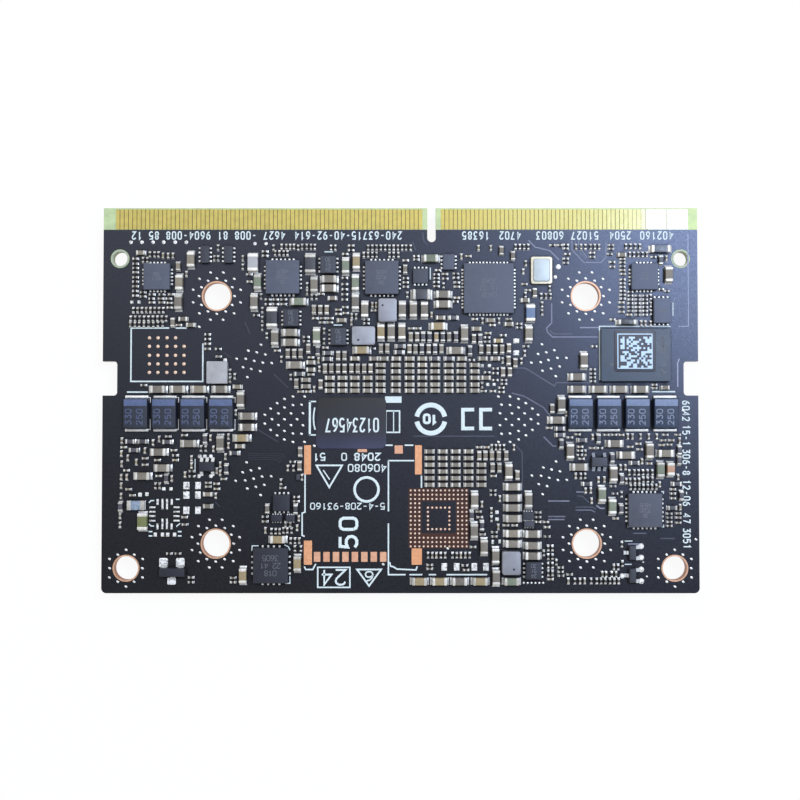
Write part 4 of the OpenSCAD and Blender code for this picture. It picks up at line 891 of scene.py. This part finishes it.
# Open lines, by their width
OPEN_LINES = {
    0.17: [
        ((7.75, 30.9), (3.3, 30.9), (3.3, 24.65), (11.7, 24.65), (11.7, 29.1)), ((8.5, 30.9), (9.8, 30.9)),
        ((2.85, 23.4), (5.3, 23.4)), ((64.2, 23.45), (66.9, 23.45)), ((24.1, 22.3), (24.95, 22.3)),
        ((24.1, 18.4), (24.95, 18.4)),
        ((24.8, 21.6), (24.68, 20.9), (24.65, 20.3), (24.7, 19.6), (24.85, 19)),
        ((33, 17.2), (33.9, 17.2)), ((35.3, 17.2), (36.3, 17.2)), ((33.35, 15.4), (36.4, 15.4)),
        ((33.4, 15.4), (33.4, 9.5)), ((33.4, 8.1), (33.4, 2.15), (35.4, 2.15)),
        ((33.55, 3.6), (33.65, 3.15), (34, 3.05), (34.4, 2.8), (36.6, 2.7), (36.75, 3.1)),
        ((23.68, 13.8), (23.68, 9.4), (23.35, 9.3), (23.35, 6.7), (23.65, 6.6)),
        ((37.25, 13.65), (37.25, 12.25)), ((23.6, 3.1), (23.8, 2.75), (24.6, 2.75), (24.95, 3.4))],
    0.14: [
        ((58.08, 24.8), (58.08, 31.1), (66.4, 31.1)), ((25.8, 14.3), (26.55, 13.2)),
        ((38.3, 36.6), (38.3, 38)), ((5.5, 10.5), (5.75, 10.75), (6.1, 10.75)),
        ((5.5, 8.05), (5.75, 7.8), (6.1, 7.8)), ((8.7, 7.75), (9.15, 8.1))],
    0.12: [
        ((66.7, 32.35), (66.7, 33.9)), ((34, 18.7), (34, 21.2)),
        ((17.5, 4.9), (17.55, 5.5), (18.3, 5.5)), ((21.3, 5.6), (21.75, 5.4), (21.95, 5)),
        ((21.4, 1.15), (21.95, 1.15), (21.95, 2)), ((65.2, 11.8), (65.45, 11.8), (65.45, 11.55)),
        ((61.3, 7.95), (61.3, 7.7), (61.55, 7.7)), ((65.2, 7.7), (65.45, 7.7), (65.45, 7.95)),
        ((60.9, 6.05), (61.8, 6.05)), ((60.9, 3.35), (61.7, 3.35))],
}
for width, paths in OPEN_LINES.items():
    for path in paths:
        line(*path, width=width)
bar(24.1, 18.3, 24.35, 22.4)
bar(33, 22.15, 34.93, 22.9)
line((33.1, 18.7), (34.7, 18.7), (34.7, 21.2), (33.1, 21.2), closed=True)
number("51", 26, 16.25, 0.8, width=0.16, step=0.95)
number("0", 28.5, 16.25, 0.8, width=0.14)
number("2048", 32.4, 16.25, 0.8, width=0.17, step=1)
number("406080", 33.1, 14.95, 0.8, width=0.14, step=0.96)
line((25, 14.85), (28, 14.85), (26.5, 12.3), width=0.2, closed=True)
line(*arc(30.85, 12.05, 1.4, 0, 345, 24), width=0.3, closed=True)
line(*arc(38.35, 20.25, 1.65, 10, 170), width=0.55)
line(*arc(38.35, 20.25, 1.65, 190, 350), width=0.55)
number("10", 39.05, 20.75, 0.95, width=0.3, step=0.9)
for x in (42.1, 44.2):
    line((x + 1.3, 21.35), (x, 21.35), (x, 19.15), (x + 1.3, 19.15), width=0.42)
number("5-4-208-93160", 32.95, 10.45, 0.7, step=0.97)
number("50", 29.72, 5.3, 1.95, 90, 0.35, 1.08)
line((25.18, 0.68), (28.92, 0.68), (28.92, 3), (25.18, 3), closed=True)
number("24", 28.4, 2.7, 1.7, width=0.22, step=0.95)
line((29.75, 2.75), (32.55, 2.75), (31.15, 0.85), width=0.2, closed=True)
number("6", 31.6, 2.5, 1.1, width=0.16, slim=1.2)
for x0, x1 in ((35.85, 37.35), (38.1, 38.95), (40.15, 44.9)):
    line((x0, 2.15), (x1, 2.15))
bar(10.8, 14, 10.9, 15.6)
for x, y in ((25.9, 39.85), (27, 31.25)):
    line((x, y), (x + 1, y), width=0.15)
for x, y in ((5.7, 7.15), (9.1, 7.15), (9.1, 6.65), (5.7, 6.65), (8.85, 10.9)):
    bar(x - 0.22, y - 0.08, x + 0.22, y + 0.08)
ink.piece("white_print", "ink", "white_label")

# Labels

LABEL_PRINT = 0.01
card_label = Form()
for low, high in solids("card_label"):
    top = high[2] - LABEL_PRINT
    soft_box(card_label, low, (high[0], high[1], top), 0.7, 0.02, steps=6)
    numbers = Form()
    numerals(numbers, "01234567", *place(32.2, 20.3), 1.5, 180, top, 0.2, LABEL_PRINT, 0.6, 0.53, 0.5)
    numbers.piece("label_numbers", "ink", "white_label")
card_label.piece("card_label_plate", "card_label", "dark_label", ("card_label",))

# The white label is a dark plate with a paper panel on it, and dark cells on that.
flash_label = Form()
cells = Form()
CELLS = 16
DARK_SHARE = 0.48
PANEL_MARGIN = 0.35
PLATE_ROOM = 0.03
PANEL_ROOM = 0.012
for low, high in solids("flash_label"):
    plate_top = high[2] - PLATE_ROOM
    panel_top = high[2] - PANEL_ROOM
    soft_box(flash_label, low, (high[0], high[1], plate_top), 0.3, 0.02, steps=4)
    size = min(high[0] - low[0], high[1] - low[1]) - 2 * PANEL_MARGIN
    x, y = middle((low, high))
    left, front = x - size / 2, y - size / 2
    pitch = size / (CELLS + 1)
    for i in range(CELLS):
        for j in range(CELLS):
            if i == 0 or j == CELLS - 1 or dice.random() < DARK_SHARE:
                cell_x, cell_y = left + (i + 0.5) * pitch, front + (j + 0.5) * pitch
                slab(cells, (cell_x, cell_y), (cell_x + pitch, cell_y + pitch), panel_top, PANEL_ROOM / 2,
                     0.01, under=False)
    panel = Form()
    soft_box(panel, (left, front, plate_top), (x + size / 2, y + size / 2, panel_top), 0.05, 0.005)
    panel.piece("label_panel", "paper", "white_label")
flash_label.piece("flash_label_plate", "label", "dark_label", ("flash_label",))
cells.piece("label_cells", "label", "dark_label")

# Embossed traces under the mask, drawn lighter than it as a painted glint

TRACES = [
    ((20, 25.5), (21.7, 23.9)), ((18.2, 19), (20.5, 17.6)), ((48.3, 17.1), (49, 16.4), (49, 12)),
    ((48, 26.25), (49.4, 26.2), (52.8, 24.1), (53, 24.5), (57, 24.5)),
    ((47.8, 23.3), (49.3, 22.9), (51.5, 21.6), (52.3, 20.6)), ((51.5, 18.2), (52.6, 17.1), (53, 17.1)),
    ((52.5, 33.8), (52.5, 31.5), (51.9, 30.9), (52, 30.4), (52.6, 29.85), (57.9, 29.85)),
    ((52.3, 30.6), (52.7, 30.2), (54.9, 30.2)), ((55.8, 30.95), (58, 30.95)),
    ((49.8, 41.2), (50.6, 40.4), (52.3, 40), (53.4, 38.9)),
    ((54.9, 41.2), (54.9, 40.1), (56.3, 38.6), (58.3, 38.6), (58.9, 39.2), (58.9, 40.9)),
    ((16.6, 31.6), (17.2, 30.2)), ((14.2, 28), (15, 27.4)), ((36.2, 41), (36.6, 40)),
    ((37.4, 42.2), (37.5, 41.2), (38, 40.6)), ((68.5, 42), (68.5, 31.1), (67.3, 31.1)),
    ((67.4, 27.3), (67.2, 26.8), (67.2, 24)), ((36.3, 18.25), (45.8, 18.25)), ((52, 10.7), (54.5, 10.7)),
    ((55.3, 11.75), (56.4, 11.75)), ((55.4, 11.3), (56, 11.25), (56.8, 10.5)),
    ((55.2, 10), (57.2, 10), (57.6, 9.75)), ((57.6, 10.2), (58.1, 9.85), (58.6, 9.85)),
    ((55.2, 9.65), (57, 9.65), (57.5, 9.4)), ((52, 8.9), (54, 8.9)), ((52, 8.55), (53.9, 8.55)),
    ((61.9, 6.95), (63.4, 6.95)), ((65.1, 6.35), (66.7, 6.35)), ((61.3, 5.7), (62.7, 5.7)),
    ((13.2, 10.6), (13.8, 10))]
traces = Form()


def trace(*points, width=0.16, tones=(0.5, 1.0)):
    """A trace that is paler, the nearer it starts to the right, where the painted glare is strongest."""
    share = points[0][0] / CARD_W
    stroke(traces, [place(*p) for p in points], width, CARD_TOP, 0.02, share * dice.uniform(*tones))


for points in TRACES:
    trace(*points)
for k in range(3):
    shift = 0.4 * (k + 1)
    x = 54.9 + shift
    trace((x, 41.2), (x, 40.3 + shift / 4), (56.3 + shift / 2, 38.95 + shift / 4), width=0.12)
for k in range(4):
    y = 16.2 - 0.22 * k
    trace((17.0, y), (20.9 - 0.2 * k, y), (21.4 - 0.2 * k, y - 0.4), width=0.1, tones=(0.0, 0.2))
traces.piece("raised_traces", "trace", "solder_mask")

# Solder that shows beside legs and under cases

PAD_RISE = 0.24
BEAD_RISE = 0.16
PIN_RISE = 0.05
pads = Form()
for x0, y0, x1, y1 in ((6.75, 3, 7.75, 4.1), (8.7, 3, 9.7, 4.1), (7.7, 1, 8.7, 1.85),
                       (14.1, 26.85, 14.55, 27.35), (14.2, 25.05, 14.65, 25.55)):
    soft_box(pads, (*place(x0, y0), CARD_TOP), (*place(x1, y1), CARD_TOP + PAD_RISE), 0.15, 0.12, 1.0)
for radius, points in ((0.24, ((11.4, 15.9), (12, 15.9), (12.7, 15.9), (11.3, 13.6), (12.7, 13.6))),
                       (0.34, ((62.8, 5.45), (62.8, 4.15), (62.8, 2.75), (62.8, 1.4))),
                       (0.3, ((60.6, 2),)), (0.12, ((63.45, 1.95), (63.05, 3.6)))):
    for point in points:
        dome(pads, *place(*point), radius, CARD_TOP, BEAD_RISE, 1.0, sides=16)
PINS = 4
for x0, x1, low_y, high_y in ((19.95, 20.85, 8.25, 9.17), (21.65, 22.35, 8.28, 9.14),
                              (49.2, 50.1, 8.5, 9.52), (49.35, 50.2, 7.62, 8.42)):
    for k in range(PINS):
        for y in (low_y, high_y):
            dome(pads, *place(x0 + k * (x1 - x0) / (PINS - 1), y), 0.1, CARD_TOP, PIN_RISE, 1.0, sides=8)
pads.piece("solder_pads", "solder_painted_reflections", "tin")

# Floor, lights and camera

floor_mesh = bpy.data.meshes.new("floor")
FLOOR_SIDE = 6000.0 * MM
# Just below the inductors that the card rests on
FLOOR_Z = -0.02 * MM
floor_mesh.from_pydata([(x * FLOOR_SIDE / 2, y * FLOOR_SIDE / 2, FLOOR_Z)
                        for x, y in ((-1, -1), (1, -1), (1, 1), (-1, 1))], [], [(0, 1, 2, 3)])
floor = add("floor", floor_mesh)
paint = bpy.data.materials.new("floor_paint")
paint.use_nodes = True
tree = paint.node_tree
tree.nodes.clear()
# How much of the floor's colour is plain white to the camera
FLOOR_WHITE = 0.93
matt = node(tree, "BsdfDiffuse", {"Color": (0.9, 0.9, 0.9, 1)})
glow = node(tree, "Emission")
blend = node(tree, "MixShader")
path = node(tree, "LightPath")
seen = node(tree, "Math", operation="MAXIMUM")
seen_through = node(tree, "Math", operation="MAXIMUM")
share = node(tree, "Math", {1: FLOOR_WHITE}, operation="MULTIPLY")
shown = node(tree, "OutputMaterial")
wire(path.outputs["Is Camera Ray"], seen.inputs[0])
wire(path.outputs["Is Glossy Ray"], seen.inputs[1])
wire(seen.outputs[0], seen_through.inputs[0])
wire(path.outputs["Is Transmission Ray"], seen_through.inputs[1])
wire(seen_through.outputs[0], share.inputs[0])
wire(share.outputs[0], blend.inputs[0])
wire(matt.outputs[0], blend.inputs[1])
wire(glow.outputs[0], blend.inputs[2])
wire(blend.outputs[0], shown.inputs["Surface"])
floor_mesh.materials.append(paint)

world = bpy.data.worlds.new("studio")
bpy.context.scene.world = world
world.use_nodes = True
tree = world.node_tree
spot = node(tree, "TexCoord")
parts = node(tree, "SeparateXYZ")
wire(spot.outputs["Generated"], parts.inputs[0])
sky = ramp(tree, parts.outputs["Z"], [(0.0, "#ffffff"), (0.25, "#ffffff"), (0.9, "#94908b")])
wire(sky, tree.nodes["Background"].inputs["Color"])
tree.nodes["Background"].inputs["Strength"].default_value = 1.0


def lamp(name, x, y, z, aim, width, depth, power, colour):
    """An area lamp that points at aim on the card's base; places and sizes are in millimetres."""
    data = bpy.data.lights.new(name, "AREA")
    data.shape = "RECTANGLE"
    data.size = width * MM
    data.size_y = depth * MM
    data.energy = power
    data.color = colour
    made = add(name, data)
    made.location = (x * MM, y * MM, z * MM)
    way = made.location.copy()
    way.x -= aim[0] * MM
    way.y -= aim[1] * MM
    made.rotation_euler = way.to_track_quat("Z", "Y").to_euler()


lamp("window", 128, 86, 330, (10, 5), 118, 90, 0.87, (0.66, 0.78, 1.0))
lamp("panel", 4, 96, 400, (0, 0), 300, 200, 0.25, (0.88, 0.94, 1.0))
lamp("fill", -103, 205, 320, (0, 0), 260, 260, 0.27, (1.0, 0.95, 0.88))

# The camera's place in millimetres, its tilt in degrees, and its focus in the picture's pixels
CAMERA = (-0.05, -4.3, 148.2)
TILT = 1.69
FOCUS = 1242
SENSOR = 36.0
IMAGE = 800
camera_data = bpy.data.cameras.new("camera")
camera_data.sensor_width = SENSOR
camera_data.lens = SENSOR * FOCUS / IMAGE
camera_data.clip_start = 0.01
camera_data.clip_end = 10
camera = add("camera", camera_data)
camera.location = [v * MM for v in CAMERA]
camera.rotation_euler = (math.radians(TILT), 0, 0)
bpy.context.scene.camera = camera
bpy.context.scene.view_settings.view_transform = "Standard"
